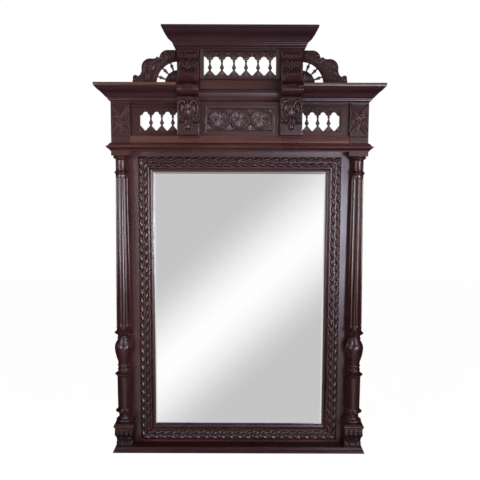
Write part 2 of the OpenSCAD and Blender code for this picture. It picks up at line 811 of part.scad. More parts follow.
// Cornice
function cornice_section() = concat(
    [[0, cornice_z], [1, cornice_z + 0.05 * cornice_h], [4, cornice_z + 0.07 * cornice_h],
     [7, cornice_z + 0.12 * cornice_h], [7, cornice_z + 0.16 * cornice_h],
     [11, cornice_z + 0.18 * cornice_h], [11, cornice_z + 0.23 * cornice_h],
     [14, cornice_z + 0.27 * cornice_h], [19, cornice_z + 0.31 * cornice_h]],
    [for (i = [0:8]) let(t = i / 8)
        [20 + (cornice_out - 23) * t - 4 * sin(360 * t), cornice_z + (0.34 + 0.46 * t) * cornice_h]],
    [[cornice_out, cornice_z + 0.83 * cornice_h], [cornice_out, deck_z]]
);

module cornice_front() {
    color(walnut) in_frame()
        moulding_front(cornice_section(), block_x, block_front, cornice_t, corbel_out);
}

module cornice_return() {
    color(walnut) in_frame() moulding_return(cornice_section(), block_x, block_front, cornice_t);
}

module cornice_deck() {
    x = block_x - cornice_t;
    color(walnut) in_frame() difference() {
        box(-x, x, gallery_y, board_t, deck_z - deck_t, deck_z);
        box(-corbel_out, corbel_out, gallery_y - 1, gallery_back, deck_z - deck_t - 1, deck_z + 1);
    }
}

// Plain panel between the corbels, behind the cornice line
module attic_panel() {
    y = gallery_y;
    z = cornice_z;
    h = attic_top - z;
    color(walnut) in_frame() along_x(-corbel_in, corbel_in) polygon([
        [gallery_back, attic_z], [y, attic_z], [y - 6, attic_z], [y - 6, z + 0.05 * h],
        [y - 3, z + 0.09 * h], [y, z + 0.12 * h], [y, z + 0.44 * h], [y - 3, z + 0.46 * h],
        [y - 7, z + 0.49 * h], [y - 7, z + 0.52 * h], [y - 3, z + 0.55 * h],
        [y - 1, z + 0.58 * h], [y - 1, attic_top - 7],
        [y + 2, attic_top - 4], [y + 4, attic_top], [gallery_back, attic_top]]);
}

module upper_gallery_sill() {
    color(dark_walnut) in_frame() difference() {
        along_y(upper_gallery_y, upper_gallery_y + gallery_t) polygon(concat(
            [[upper_gallery_x, attic_top], [-upper_gallery_x, attic_top]],
            gallery_edge(-upper_gallery_x, upper_pitch, upper_bays, upper_spindle_z, -mound_fall)));
        upper_spindle_row() peg_hole();
    }
}

module upper_gallery_head() {
    high = upper_spindle_z + spindle_l;
    color(dark_walnut) in_frame() difference() {
        union() {
            along_y(upper_gallery_y, upper_gallery_y + gallery_t) polygon(concat(
                [[upper_gallery_x, crown_z], [-upper_gallery_x, crown_z]],
                gallery_edge(-upper_gallery_x, upper_pitch, upper_bays, high, arch_rise)));
            box(-upper_gallery_x, upper_gallery_x, upper_gallery_y - 5, upper_gallery_y,
                crown_z - 9, crown_z);
        }
        upper_spindle_row() peg_hole();
    }
}

module upper_gallery_stile() {
    color(dark_walnut) in_frame() box(upper_gallery_x, corbel_in, upper_gallery_y,
        upper_gallery_y + gallery_t, attic_top, crown_z);
}

module upper_gallery_spindles() {
    color(walnut) in_frame() upper_spindle_row() spindle();
}

module tower_side() {
    color(walnut) in_frame()
        box(tower_x - tower_side_t, tower_x, gallery_back, board_t, deck_z, crown_z);
}

// Side fans, drawn on the right: a pierced quarter circle with a carved outline
fan_y = gallery_back + 2;
fan_centre_z = deck_z + fan_rail_h;
fan_ring = 13;
fan_spindle_l = fan_arch_r - fan_hub_r;
fan_reach = block_x - tower_x - 85;

function lobe(cx, cz, r, a0, a1, n = 6) = arc(tower_x + cx, deck_z + cz, r, a0, a1, n);

function fan_outline() = concat(
    [[tower_x, deck_z], [tower_x + fan_reach, deck_z]],
    lobe(fan_reach - 13, 34, 11, -5, 130, 5),
    [[tower_x + fan_reach - 30, deck_z + 42], [tower_x + fan_reach - 39, deck_z + 54]],
    lobe(fan_reach - 74, 74, 36, 0, 104, 8),
    lobe(fan_reach - 103, 111, 6, 10, 150, 4),
    lobe(fan_reach - 146, 110, 36, 12, 82, 6),
    [[tower_x + 20, deck_z + tower_h - 1], [tower_x, deck_z + tower_h - 1]]
);

module fan_spindle() {
    l = fan_spindle_l;
    translate([0, 0, -5]) cylinder(r = peg_r, h = l + 10, $fn = 24);
    rotate_extrude($fn = 24) polygon(concat(
        [[0, 0.3], [4, 0.3], [4, 2.5], [2.6, 5]],
        [for (i = [0:6]) let(a = -66 + i * 22) [6 * cos(a), 0.5 * l + 6 * sin(a)]],
        [[2.6, l - 5], [4, l - 2.5], [4, l - 0.3], [0, l - 0.3]]));
}

module fan_spindle_places() {
    for (i = [0:fan_spindle_count - 1])
        translate([tower_x, fan_y + fan_t / 2, fan_centre_z])
            rotate([0, 90 - (20 + 49 * i / (fan_spindle_count - 1)), 0])
                translate([0, 0, fan_hub_r]) children();
}

module fan_board() {
    color(dark_walnut) in_frame() difference() {
        union() {
            along_y(fan_y, fan_y + fan_t) polygon(fan_outline());
            intersection() {
                translate([tower_x, fan_y, fan_centre_z]) rotate([90, 0, 0])
                    cylinder(r = fan_arch_r + fan_ring, h = 4);
                box(tower_x, tower_x + 200, fan_y - 5, fan_y, deck_z, crown_z);
            }
        }
        intersection() {
            difference() {
                bore_y(tower_x, fan_centre_z, fan_arch_r, fan_y - 6, fan_y + fan_t + 1);
                bore_y(tower_x, fan_centre_z, fan_hub_r, fan_y - 7, fan_y + fan_t + 2);
            }
            box(tower_x - 1, tower_x + 200, fan_y - 8, fan_y + fan_t + 3, fan_centre_z, crown_z);
        }
        fan_spindle_places() translate([0, 0, -5.5])
            cylinder(r = peg_r + peg_gap, h = fan_spindle_l + 11, $fn = 24);
    }
}

module fan_spindles() {
    color(walnut) in_frame() fan_spindle_places() fan_spindle();
}

// Crown
function crown_section() = concat(
    [[0, crown_z], [0, crown_z + 0.05 * crown_h], [4, crown_z + 0.09 * crown_h],
     [6, crown_z + 0.14 * crown_h], [6, crown_z + 0.19 * crown_h], [9, crown_z + 0.22 * crown_h],
     [9, crown_z + 0.27 * crown_h], [13, crown_z + 0.31 * crown_h], [15, crown_z + 0.36 * crown_h]],
    [for (i = [0:10]) let(t = i / 10)
        [16 + (crown_out - 18) * t - 4 * sin(360 * t), crown_z + (0.38 + 0.5 * t) * crown_h]],
    [[crown_out, crown_z + 0.9 * crown_h], [crown_out, crown_z + crown_h]]
);

module crown_moulding() {
    color(walnut) in_frame()
        moulding_front(crown_section(), crown_x, crown_y, crown_t, -crown_x - crown_out);
}

module crown_return() {
    color(walnut) in_frame() moulding_return(crown_section(), crown_x, crown_y, crown_t);
}

module crown_board() {
    x = crown_x - crown_t;
    color(walnut) in_frame() box(-x, x, -crown_y + crown_t, board_t,
        crown_z + crown_h - crown_board_t, crown_z + crown_h);
}

module hanging_plate() {
    color("#57524b") in_frame() difference() {
        box(plate_x0, plate_x0 + plate_l, board_t - plate_t, board_t,
            plate_z - plate_h / 2, plate_z + plate_h / 2);
        bore_y(wall_hole_x, plate_z, wall_hole_r, board_t - plate_t - 1, board_t + 1);
        plate_screw_holes();
    }
}

left_hand() stile();  // left_stile
stile();  // right_stile
rail(rail_z1, string_z);  // top_rail
rail(ledge_h, rail_z0);  // bottom_rail
left_hand() frame_side();  // left_frame_moulding
frame_side();  // right_frame_moulding
frame_end(1);  // top_frame_moulding
frame_end(-1);  // bottom_frame_moulding
mirror_glass();
glass_blocks();
back_boards();
back_screws();
base_ledge();
left_hand() bracket();  // left_bracket
bracket();  // right_bracket
left_hand() baluster();  // left_baluster
baluster();  // right_baluster
left_hand() fluted_shaft();  // left_fluted_shaft
fluted_shaft();  // right_fluted_shaft
left_hand() capital();  // left_capital
capital();  // right_capital
string_moulding();
left_hand() string_return();  // left_string_return
string_return();  // right_string_return
string_board();
frieze_rail();
left_hand() end_block();  // left_end_block
end_block();  // right_end_block
left_hand() gallery_board();  // left_gallery_board
gallery_board();  // right_gallery_board
left_hand() gallery_spindles();  // left_gallery_spindles
gallery_spindles();  // right_gallery_spindles
roundel_panel();
left_hand() lower_corbel();  // left_lower_corbel
lower_corbel();  // right_lower_corbel
left_hand() scroll_corbel();  // left_scroll_corbel
scroll_corbel();  // right_scroll_corbel
left_hand() cornice_front();  // left_cornice
cornice_front();  // right_cornice
left_hand() cornice_return();  // left_cornice_return
cornice_return();  // right_cornice_return
cornice_deck();
attic_panel();
upper_gallery_head();
upper_gallery_sill();
left_hand() upper_gallery_stile();  // upper_gallery_left_stile
upper_gallery_stile();  // upper_gallery_right_stile
upper_gallery_spindles();
left_hand() fan_board();  // left_fan_board
fan_board();  // right_fan_board
left_hand() fan_spindles();  // left_fan_spindles
fan_spindles();  // right_fan_spindles
left_hand() tower_side();  // left_tower_side
tower_side();  // right_tower_side
crown_moulding();
left_hand() crown_return();  // left_crown_return
crown_return();  // right_crown_return
crown_board();
left_hand() hanging_plate();  // left_hanging_plate
hanging_plate();  // right_hanging_plate
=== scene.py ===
import math

import bpy
import numpy as np
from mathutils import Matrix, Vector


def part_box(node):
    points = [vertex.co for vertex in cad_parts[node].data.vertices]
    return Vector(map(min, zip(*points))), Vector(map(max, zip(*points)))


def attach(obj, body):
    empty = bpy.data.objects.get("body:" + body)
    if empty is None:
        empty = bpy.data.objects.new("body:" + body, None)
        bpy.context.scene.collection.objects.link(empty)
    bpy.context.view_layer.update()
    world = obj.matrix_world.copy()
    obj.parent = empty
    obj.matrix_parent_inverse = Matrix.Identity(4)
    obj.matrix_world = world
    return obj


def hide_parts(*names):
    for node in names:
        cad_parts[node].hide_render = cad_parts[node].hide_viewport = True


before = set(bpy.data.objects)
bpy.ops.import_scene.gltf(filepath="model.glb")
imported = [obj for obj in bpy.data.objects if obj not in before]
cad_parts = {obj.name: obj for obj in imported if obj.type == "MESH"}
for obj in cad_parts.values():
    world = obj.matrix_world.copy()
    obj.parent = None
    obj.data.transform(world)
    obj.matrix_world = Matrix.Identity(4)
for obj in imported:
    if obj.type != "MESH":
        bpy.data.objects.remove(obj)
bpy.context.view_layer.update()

bl_info = {
    "name": "Carved Walnut Mirror",
    "version": (1, 0, 0),
    "blender": (4, 5, 0),
    "location": "3D View > Sidebar > Mirror",
    "description": "Builds a carved overmantel mirror with fluted columns, piece by piece",
    "category": "Object",
}

MM = 0.001


# Places, in millimetres, read from the frame

def corners(node):
    """Lowest and highest corner of a node of the frame, in millimetres."""
    low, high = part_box(node)
    return [c / MM for c in low], [c / MM for c in high]


BOARD_Y = corners("top_rail")[0][1]
WALL_D = BOARD_Y - corners("top_rail")[1][1]


def depth(y):
    """How far a place along y stands in front of the main boards."""
    return BOARD_Y - y


# Frame round the glass: half width and heights of the sight edge, and width of the mouldings
SIDE_LOW, SIDE_HIGH = corners("right_frame_moulding")
SIGHT_X = SIDE_LOW[0]
MOULD_W = SIDE_HIGH[0] - SIDE_LOW[0]
SIGHT_Z0 = SIDE_LOW[2] + MOULD_W
SIGHT_Z1 = SIDE_HIGH[2] - MOULD_W

# Columns: their middle, and the heights where ledge, bracket, baluster, shaft and capital end
BALUSTER_LOW, BALUSTER_HIGH = corners("right_baluster")
COLUMN_X = (BALUSTER_LOW[0] + BALUSTER_HIGH[0]) / 2
COLUMN_D = depth((BALUSTER_LOW[1] + BALUSTER_HIGH[1]) / 2)
COLUMN_R = (BALUSTER_HIGH[0] - BALUSTER_LOW[0]) / 2
LEDGE_Z = corners("base_ledge")[1][2]
BASE_Z = corners("right_bracket")[1][2]
SHAFT_Z = BALUSTER_HIGH[2]
CAP_LOW, CAP_HIGH = corners("right_capital")
CAPITAL_Z = CAP_LOW[2]
STRING_Z = CAP_HIGH[2]

# Frieze and top: the sides of blocks and corbels, and the height where each part starts
BLOCK_LOW, BLOCK_HIGH = corners("right_end_block")
BLOCK_IN, BLOCK_OUT = BLOCK_LOW[0], BLOCK_HIGH[0]
FRIEZE_Z, CORNICE_Z = BLOCK_LOW[2], BLOCK_HIGH[2]
CORBEL_LOW, CORBEL_HIGH = corners("right_scroll_corbel")
CORBEL_IN, CORBEL_OUT = CORBEL_LOW[0], CORBEL_HIGH[0]
PANEL_LOW, PANEL_HIGH = corners("roundel_panel")
PANEL_Z, ATTIC_Z = PANEL_LOW[2], PANEL_HIGH[2]
ATTIC_TOP = corners("attic_panel")[1][2]
DECK_Z = corners("cornice_deck")[1][2]
CROWN_Z = corners("crown_moulding")[0][2]
TOP_Z = corners("crown_moulding")[1][2]


# Small mathematics for carving

def ease(low, high, x):
    """0 below low, 1 above high, smooth between."""
    t = np.clip((x - low) / (high - low), 0, 1)
    return t * t * (3 - 2 * t)


def arc(cx, cy, r, start, end, count):
    """Points along an arc, angles in degrees."""
    turns = [math.radians(start + (end - start) * i / count) for i in range(count + 1)]
    return [(cx + r * math.cos(a), cy + r * math.sin(a)) for a in turns]


def softened(outline, r):
    """An outline with each corner cut back by r, so that its edges catch the light."""
    result = []
    for i, p in enumerate(outline):
        before, after = outline[i - 1], outline[(i + 1) % len(outline)]
        for other in (before, after):
            span = math.dist(p, other)
            share = min(0.4, r / span) if span > 0 else 0
            result.append((p[0] + (other[0] - p[0]) * share, p[1] + (other[1] - p[1]) * share))
    return result


def chain(points, share):
    """The place at each share of a list of points that are numbered evenly."""
    points = np.asarray(points, float)
    index = share * (len(points) - 1)
    return [np.interp(index, np.arange(len(points)), points[:, i]) for i in range(points.shape[1])]


def evenly(points, step):
    """The same outline with points added, so that none is further than step from the next."""
    result = [points[0]]
    for a, b in zip(points, points[1:]):
        count = max(1, math.ceil(math.dist(a, b) / step))
        result += [(a[0] + (b[0] - a[0]) * i / count, a[1] + (b[1] - a[1]) * i / count)
                   for i in range(1, count + 1)]
    return result


# Mesh helpers

def deselect():
    bpy.ops.object.select_all(action="DESELECT")


def points_of(piece):
    """Places of the piece's vertices, in millimetres."""
    co = np.empty(len(piece.data.vertices) * 3)
    piece.data.vertices.foreach_get("co", co)
    return co.reshape(-1, 3) / MM


def move_points(piece, points):
    """Puts the piece's vertices at these places, in millimetres."""
    piece.data.vertices.foreach_set("co", (np.asarray(points, float) * MM).ravel())
    piece.data.update()


def chosen(piece):
    """Which vertices are selected."""
    flags = np.empty(len(piece.data.vertices), bool)
    piece.data.vertices.foreach_get("select", flags)
    return flags


def activate(piece):
    """Selects the piece alone and makes it the active one."""
    deselect()
    piece.select_set(True)
    bpy.context.view_layer.objects.active = piece


def edit(piece, mode="VERT"):
    activate(piece)
    bpy.ops.object.mode_set(mode="EDIT")
    bpy.ops.mesh.select_mode(type=mode)


def done_editing():
    bpy.ops.object.mode_set(mode="OBJECT")


def name_piece(name):
    """Names the object that was made last."""
    piece = bpy.context.object
    piece.name = name
    piece.data.name = name
    return piece


def seal(piece):
    """Merges doubles, closes what is open and points the faces outwards."""
    edit(piece)
    bpy.ops.mesh.select_all(action="SELECT")
    bpy.ops.mesh.remove_doubles(threshold=0.00002)
    bpy.ops.mesh.fill_holes(sides=0)
    bpy.ops.mesh.select_all(action="SELECT")
    bpy.ops.mesh.normals_make_consistent(inside=False)
    done_editing()
    return piece


def smooth(piece, angle):
    """Smooth shading, with edges sharper than the angle, in degrees, kept."""
    activate(piece)
    bpy.ops.object.shade_smooth_by_angle(angle=math.radians(angle))
    return piece


def joined(name, pieces):
    """The pieces as one object."""
    deselect()
    for piece in pieces:
        piece.select_set(True)
    bpy.context.view_layer.objects.active = pieces[0]
    bpy.ops.object.join()
    return name_piece(name)


def mirrored(piece, name):
    """A copy with its own mesh on the other side of the centre line."""
    activate(piece)
    bpy.ops.object.duplicate()
    copy = name_piece(name)
    move_points(copy, points_of(copy) * (-1, 1, 1))
    edit(copy)
    bpy.ops.mesh.select_all(action="SELECT")
    bpy.ops.mesh.flip_normals()
    done_editing()
    return copy


def run(name, section, place):
    """A length of moulding: its closed section at both ends. place(points, end) gives where they are."""
    deselect()
    bpy.ops.mesh.primitive_circle_add(vertices=len(section), fill_type="NGON")
    piece = name_piece(name)
    section = np.array(section, float)
    move_points(piece, place(section, 0))
    edit(piece)
    bpy.ops.mesh.select_all(action="SELECT")
    bpy.ops.mesh.extrude_region_move()
    done_editing()
    points = points_of(piece)
    points[chosen(piece)] = place(section, 1)
    move_points(piece, points)
    return smooth(seal(piece), 30)


def layers(name, rings):
    """A solid of four-cornered layers: each ring is four corners, as (x, y, z)."""
    deselect()
    bpy.ops.mesh.primitive_circle_add(vertices=4, fill_type="NGON")
    piece = name_piece(name)
    move_points(piece, rings[0])
    for layer in rings[1:]:
        edit(piece)
        bpy.ops.mesh.extrude_region_move()
        done_editing()
        points = points_of(piece)
        points[chosen(piece)] = layer
        move_points(piece, points)
    return smooth(seal(piece), 30)


def turned(name, profile, centre, steps):
    """A turned piece: its profile of (radius, height), spun about an upright axis at centre."""
    deselect()
    bpy.ops.mesh.primitive_circle_add(vertices=len(profile), fill_type="NOTHING")
    piece = name_piece(name)
    cx, cy, cz = centre
    move_points(piece, [(cx + r, cy, cz + z) for r, z in profile])
    edit(piece, "EDGE")
    bpy.ops.mesh.select_all(action="DESELECT")
    done_editing()
    last = len(profile) - 1
    for e in piece.data.edges:
        e.select = set(e.vertices) == {0, last}
    edit(piece, "EDGE")
    bpy.ops.mesh.delete(type="EDGE")
    bpy.ops.mesh.select_all(action="SELECT")
    bpy.ops.mesh.spin(steps=steps, angle=math.tau, center=(cx * MM, cy * MM, cz * MM), axis=(0, 0, 1))
    done_editing()
    return smooth(seal(piece), 35)


def grid(name, across, along):
    """A flat grid with that many faces each way, and each vertex's share across and along."""
    deselect()
    bpy.ops.mesh.primitive_grid_add(x_subdivisions=across, y_subdivisions=along, size=2)
    piece = name_piece(name)
    points = points_of(piece) * MM
    return piece, (points[:, 0] + 1) / 2, (points[:, 1] + 1) / 2


def skin(name, around, along, place, angle):
    """A closed skin. place(u, v) gives its points, u all the way round and v from end to end."""
    piece, u, v = grid(name, around, along)
    move_points(piece, np.stack(place(u, v), 1))
    return smooth(seal(piece), angle)


def carved_slab(name, across, along, front, back):
    """A slab with a carved front. front(u, v) gives its points, back(points) those behind its edge."""
    piece, u, v = grid(name, across, along)
    move_points(piece, np.stack(front(u, v), 1))
    edit(piece, "EDGE")
    bpy.ops.mesh.select_all(action="SELECT")
    bpy.ops.mesh.region_to_loop()
    bpy.ops.mesh.extrude_edges_move()
    done_editing()
    points = points_of(piece)
    rim = chosen(piece)
    points[rim] = back(points[rim])
    move_points(piece, points)
    return smooth(seal(piece), 55)


def carved_face(name, x0, x1, z0, z1, front_d, back_d, height, step):
    """A slab that faces the room, carved by height(x, z), in millimetres above front_d."""
    def front(u, v):
        x = x0 + (x1 - x0) * u
        z = z0 + (z1 - z0) * v
        return x, BOARD_Y - front_d - height(x, z), z

    def back(points):
        return np.stack((points[:, 0], np.full(len(points), BOARD_Y - back_d), points[:, 2]), 1)

    return carved_slab(name, round((x1 - x0) / step), round((z1 - z0) / step), front, back)


def prism(name, outline, d0, d1):
    """A straight cutter or blank with an outline of (x, z), between two depths."""
    def place(points, end):
        y = BOARD_Y - (d1 if end else d0)
        return np.stack((points[:, 0], np.full(len(points), y), points[:, 1]), 1)
    return run(name, outline, place)


def cut(piece, tool, operation="DIFFERENCE"):
    """Cuts the piece with the tool, which is then thrown away."""
    activate(piece)
    modifier = piece.modifiers.new("cut", "BOOLEAN")
    modifier.operation = operation
    modifier.object = tool
    modifier.solver = "EXACT"
    bpy.ops.object.modifier_apply(modifier="cut")
    bpy.data.objects.remove(tool)


# Carved motifs: each takes places in millimetres and gives a height from 0 to 1

def leaf(x, z, root, turn, length, width, bend=0.0, groove=0.3, veins=0):
    """A pointed leaf from root, turned from straight up in degrees, curving sideways by bend."""
    a = math.radians(turn)
    along = ((x - root[0]) * math.sin(a) + (z - root[1]) * math.cos(a)) / length
    side = (x - root[0]) * math.cos(a) - (z - root[1]) * math.sin(a)
    side = side - bend * length * along * np.abs(along)
    inside = np.clip(along, 0, 1)
    half = width / 2 * np.sin(np.pi * inside ** 0.72) ** 0.8 + 1e-6
    q = np.clip(np.abs(side) / half, 0, 1)
    dome = (1 - q ** 2.2) ** 0.45
    rise = 0.62 + 0.38 * np.sin(np.pi * np.clip(inside + 0.12, 0, 1))
    shape = dome * rise * (1 - groove * np.exp(-(q / 0.2) ** 2) * ease(1.0, 0.75, inside))
    if veins:
        shape = shape * (1 - 0.14 * (0.5 + 0.5 * np.sin(2 * np.pi * (inside * veins - 0.9 * q))))
    return np.where((along > 0) & (along < 1) & (np.abs(side) < half), shape, 0)


def acanthus(x, z, root, turn, length, width, lobes):
    """A carved acanthus leaf: a ribbed stem on a leaf body, lobes on both sides and a pointed tip."""
    a = math.radians(turn)
    along = (x - root[0]) * math.sin(a) + (z - root[1]) * math.cos(a)
    side = np.abs((x - root[0]) * math.cos(a) - (z - root[1]) * math.sin(a))
    parts = [0.42 * leaf(side, along, (0, 0), 0, 0.94 * length, 0.74 * width, 0, 0)]
    for i in range(lobes):
        share = i / (lobes - 1)
        start = length * (0.02 + 0.56 * share)
        reach = width * (0.6 - 0.1 * share)
        lobe = leaf(side, along, (0, start), 72 - 48 * share, reach, reach * 0.62, -0.22, 0.4, 2)
        parts.append(lobe * (0.7 + 0.24 * share))
    parts.append(leaf(side, along, (0, 0.5 * length), 0, 0.5 * length, 0.27 * width, 0, 0.15))
    stem = np.clip(1 - (side / (0.06 * width * (1.1 - along / length) + 1e-6)) ** 2, 0, 1) ** 0.5
    parts.append(0.95 * stem * ((along > 0) & (along < 0.86 * length)))
    return np.maximum.reduce(parts)


def palmette(x, z, root, turn, length, spread, ribs, droop, waist):
    """A fan of ribs that end in round tips, the side ones shorter by droop.

    The ribs start at root, and spread from a point that lies waist behind it.
    """
    a = math.radians(turn)
    along = (x - root[0]) * math.sin(a) + (z - root[1]) * math.cos(a) + waist
    side = (x - root[0]) * math.cos(a) - (z - root[1]) * math.sin(a)
    distance = np.hypot(along, side)
    angle = np.degrees(np.arctan2(side, along))
    place = (angle / spread * 0.5 + 0.5) * ribs
    part = place % 1 - 0.5
    middle = (np.floor(place) + 0.5) / ribs * 2 - 1
    tip = (waist + length) * (1 - droop * middle ** 2) * (1 - 0.12 * (2 * part) ** 2)
    near = np.clip((distance - waist) / (tip - waist), 0, 1)
    fold = (1 - (2 * np.abs(part)) ** 2.4) ** 0.5
    rise = 0.5 + 0.5 * near - 0.95 * ease(0.86, 1.0, near)
    shape = (0.25 + 0.75 * fold) * rise * (1 - 0.22 * np.exp(-(part / 0.1) ** 2))
    return np.where((np.abs(angle) < spread) & (distance < tip) & (distance > waist), shape, 0)


def bead(x, z, cx, cz, r):
    """A round boss."""
    return np.clip(1 - ((x - cx) ** 2 + (z - cz) ** 2) / r ** 2, 0, 1) ** 0.5


def ring(distance, middle, half):
    """A raised half-round band at a distance."""
    return np.clip(1 - ((distance - middle) / half) ** 2, 0, 1) ** 0.5


def braid(a, b, pitch, sway, half):
    """Two rows of plump links that overlap and lean a little, one row half a link behind the other."""
    links = []
    for sign, behind in ((1, 0.0), (-1, 0.5)):
        place = a / pitch - behind
        lean = math.radians(13 * sign)
        for near in (-1, 0, 1):
            along = (place - np.round(place) - near) * pitch
            side = b - sign * sway
            u = along * math.cos(lean) + side * math.sin(lean)
            v = side * math.cos(lean) - along * math.sin(lean)
            body = np.clip(1 - (u / (0.56 * pitch)) ** 2 - (v / half) ** 2, 0, 1) ** 0.5
            links.append(body * (1 - 0.16 * np.exp(-((v / half + 0.35) / 0.2) ** 2)))
    return np.maximum.reduce(links)


def rosette(x, z, r, petals):
    """A dished flower: petals with a rib each, swirling a little round a button."""
    distance = np.hypot(x, z)
    angle = np.arctan2(z, x) + 0.5 * distance / r
    part = (angle * petals / (2 * np.pi)) % 1 - 0.5
    reach = np.clip(distance / r, 0, 1)
    half = 0.46 * np.sin(np.pi * np.clip(reach * 0.86 + 0.1, 0, 1)) ** 0.6 + 1e-6
    q = np.clip(np.abs(part) / half, 0, 1)
    petal = (1 - q ** 2.4) ** 0.5 * (0.35 + 0.5 * reach)
    petal = petal * (1 - 0.35 * np.exp(-(q / 0.18) ** 2)) * (reach < 0.97)
    button = bead(x, z, 0, 0, 0.2 * r) * 0.95
    return np.maximum(petal, button)


def volute(x, z, r, turns):
    """A spiral scroll of outer radius r that winds in to a round eye."""
    eye = 0.2
    distance = np.hypot(x, z) + 1e-6
    angle = (np.arctan2(z, x) / (2 * np.pi)) % 1
    index = (np.log(r / distance) / (math.log(1 / eye) / turns) - angle) % 1
    band = ring(index, 0.5, 0.33) * (distance < r) * (distance > 0.9 * eye * r)
    return np.maximum(band * (0.6 + 0.4 * (1 - distance / r)), bead(x, z, 0, 0, eye * r))


# Sizes and finishes that can be changed in the sidebar

def length_prop(name, description, millimetres):
    return bpy.props.FloatProperty(
        name=name, description=description, default=millimetres * MM, min=0, unit="LENGTH", precision=4)


def colour_prop(name, description, colour):
    return bpy.props.FloatVectorProperty(
        name=name, description=description, default=colour, size=3, min=0, max=1, subtype="COLOR")


def share_prop(name, description, value):
    return bpy.props.FloatProperty(
        name=name, description=description, default=value, min=0, max=1, subtype="FACTOR")


class MirrorCarving(bpy.types.PropertyGroup):
    """How deep and how fine the carving is"""
    fine_step: length_prop("Fine step", "Spacing of the mesh on small carving", 1.3)
    band_step: length_prop("Band step", "Spacing of the mesh along the frame's carved band", 1.6)
    link_pitch: length_prop("Link pitch", "Length from one link to the next on the frame's band", 37)
    link_row: length_prop("Link row", "Distance of each row of links from the band's middle", 10.2)
    link_width: length_prop("Link width", "Width of each link", 15.6)
    link_rise: length_prop("Link rise", "Height of the links above their ground", 9)
    leaf_rise: length_prop("Leaf rise", "Height of the leaves on the frieze", 6)
    flute_depth: length_prop("Flute depth", "Depth of the flutes of the columns", 4.4)
    petals: bpy.props.IntProperty(
        name="Petals", description="Petals of each roundel's flower", default=6, min=4, max=9)


class MirrorFinish(bpy.types.PropertyGroup):
    """Colours and polish of the finishes"""
    walnut_dark: colour_prop("Dark walnut", "Stain in the dark grain", (0.0195, 0.0050, 0.0054))
    walnut_light: colour_prop("Light walnut", "Stain in the light grain", (0.047, 0.0112, 0.0098))
    # This light edge brown is also painted on as light: highlight strips and lighter copies of the stain
    walnut_worn_and_lit: colour_prop("Worn edges", "Wood where the stain is rubbed off", (0.20, 0.085, 0.042))
    polish: share_prop("Polish roughness", "Roughness of the satin polish", 0.29)
    wear: share_prop("Wear", "How much the raised edges are rubbed", 0.22)
    silver: colour_prop("Silvering", "Tint of the mirror's reflection", (0.99, 0.99, 0.99))
    pine: colour_prop("Softwood", "Aged softwood of the back", (0.33, 0.19, 0.085))
    iron: colour_prop("Iron", "Blackened iron of the plates and screws", (0.09, 0.085, 0.08))


class MirrorStudio(bpy.types.PropertyGroup):
    """Camera and light"""
    eye_distance: length_prop("Eye distance", "Camera's distance from the main boards", 2658)
    eye_height: length_prop("Eye height", "Camera's height above the floor", 1196.4)
    eye_side: length_prop("Eye side", "Camera's place to the right of the centre", 1.7)
    eye_pitch: bpy.props.FloatProperty(
        name="Eye pitch", description="How far the camera looks down", default=math.radians(5.84),
        subtype="ANGLE")
    eye_roll: bpy.props.FloatProperty(
        name="Eye roll", description="How far the camera leans to the left", default=math.radians(0.2),
        subtype="ANGLE")
    lens: bpy.props.FloatProperty(
        name="Lens", description="Focal length on a 36 mm wide picture, in millimetres", default=46.5)
    brightness: bpy.props.FloatProperty(
        name="Brightness", description="Share of each lamp's power", default=1, min=0)
    air: share_prop("Ambient light", "Strength of the light from all round", 0.30)


def carving_size(key):
    """A size of the carving, in millimetres."""
    return getattr(bpy.context.scene.mirror_carving, key) / MM


# Finishes

def node(tree, kind, inputs=None, **settings):
    """Adds a node. inputs gives each socket a value or another node's output."""
    made = tree.nodes.new(kind)
    for key, value in settings.items():
        setattr(made, key, value)
    for key, value in (inputs or {}).items():
        socket = made.inputs[key]
        if isinstance(value, bpy.types.NodeSocket):
            tree.links.new(value, socket)
        else:
            socket.default_value = value
    return made


def noise(tree, vector, scale, detail=3.0, distortion=0.0):
    return node(tree, "ShaderNodeTexNoise", {
        "Vector": vector, "Scale": scale, "Detail": detail, "Distortion": distortion}).outputs["Fac"]


def remap(tree, value, low, high, to_low=0.0, to_high=1.0):
    return node(tree, "ShaderNodeMapRange", {
        "Value": value, "From Min": low, "From Max": high, "To Min": to_low, "To Max": to_high,
    }, interpolation_type="SMOOTHSTEP").outputs["Result"]


def maths(tree, operation, a, b):
    return node(tree, "ShaderNodeMath", {0: a, 1: b}, operation=operation).outputs[0]


def mixed(tree, share, a, b, blend="MIX"):
    """Mixes two colours."""
    made = node(tree, "ShaderNodeMix", {0: share}, data_type="RGBA", blend_type=blend)
    for index, colour in ((6, a), (7, b)):
        if isinstance(colour, bpy.types.NodeSocket):
            tree.links.new(colour, made.inputs[index])
        else:
            made.inputs[index].default_value = (*colour, 1)
    return made.outputs[2]


def fresh_material(name):
    material = bpy.data.materials.new(name)
    material.use_nodes = True
    material.node_tree.nodes.clear()
    return material, material.node_tree


def shader(tree, inputs):
    surface = node(tree, "ShaderNodeBsdfPrincipled", inputs)
    node(tree, "ShaderNodeOutputMaterial", {"Surface": surface.outputs["BSDF"]})


def object_space(tree):
    return node(tree, "ShaderNodeTexCoord").outputs["Object"]


def stretched(tree, place, scale):
    return node(tree, "ShaderNodeMapping", {"Vector": place, "Scale": scale}).outputs["Vector"]


GRAIN_ACROSS = 130.0
GRAIN_ALONG = 4.5
# Colour of wax and painted shade in the hollows of carved walnut
HOLLOW_WAX_AND_SHADE = (0.007, 0.0026, 0.0034)


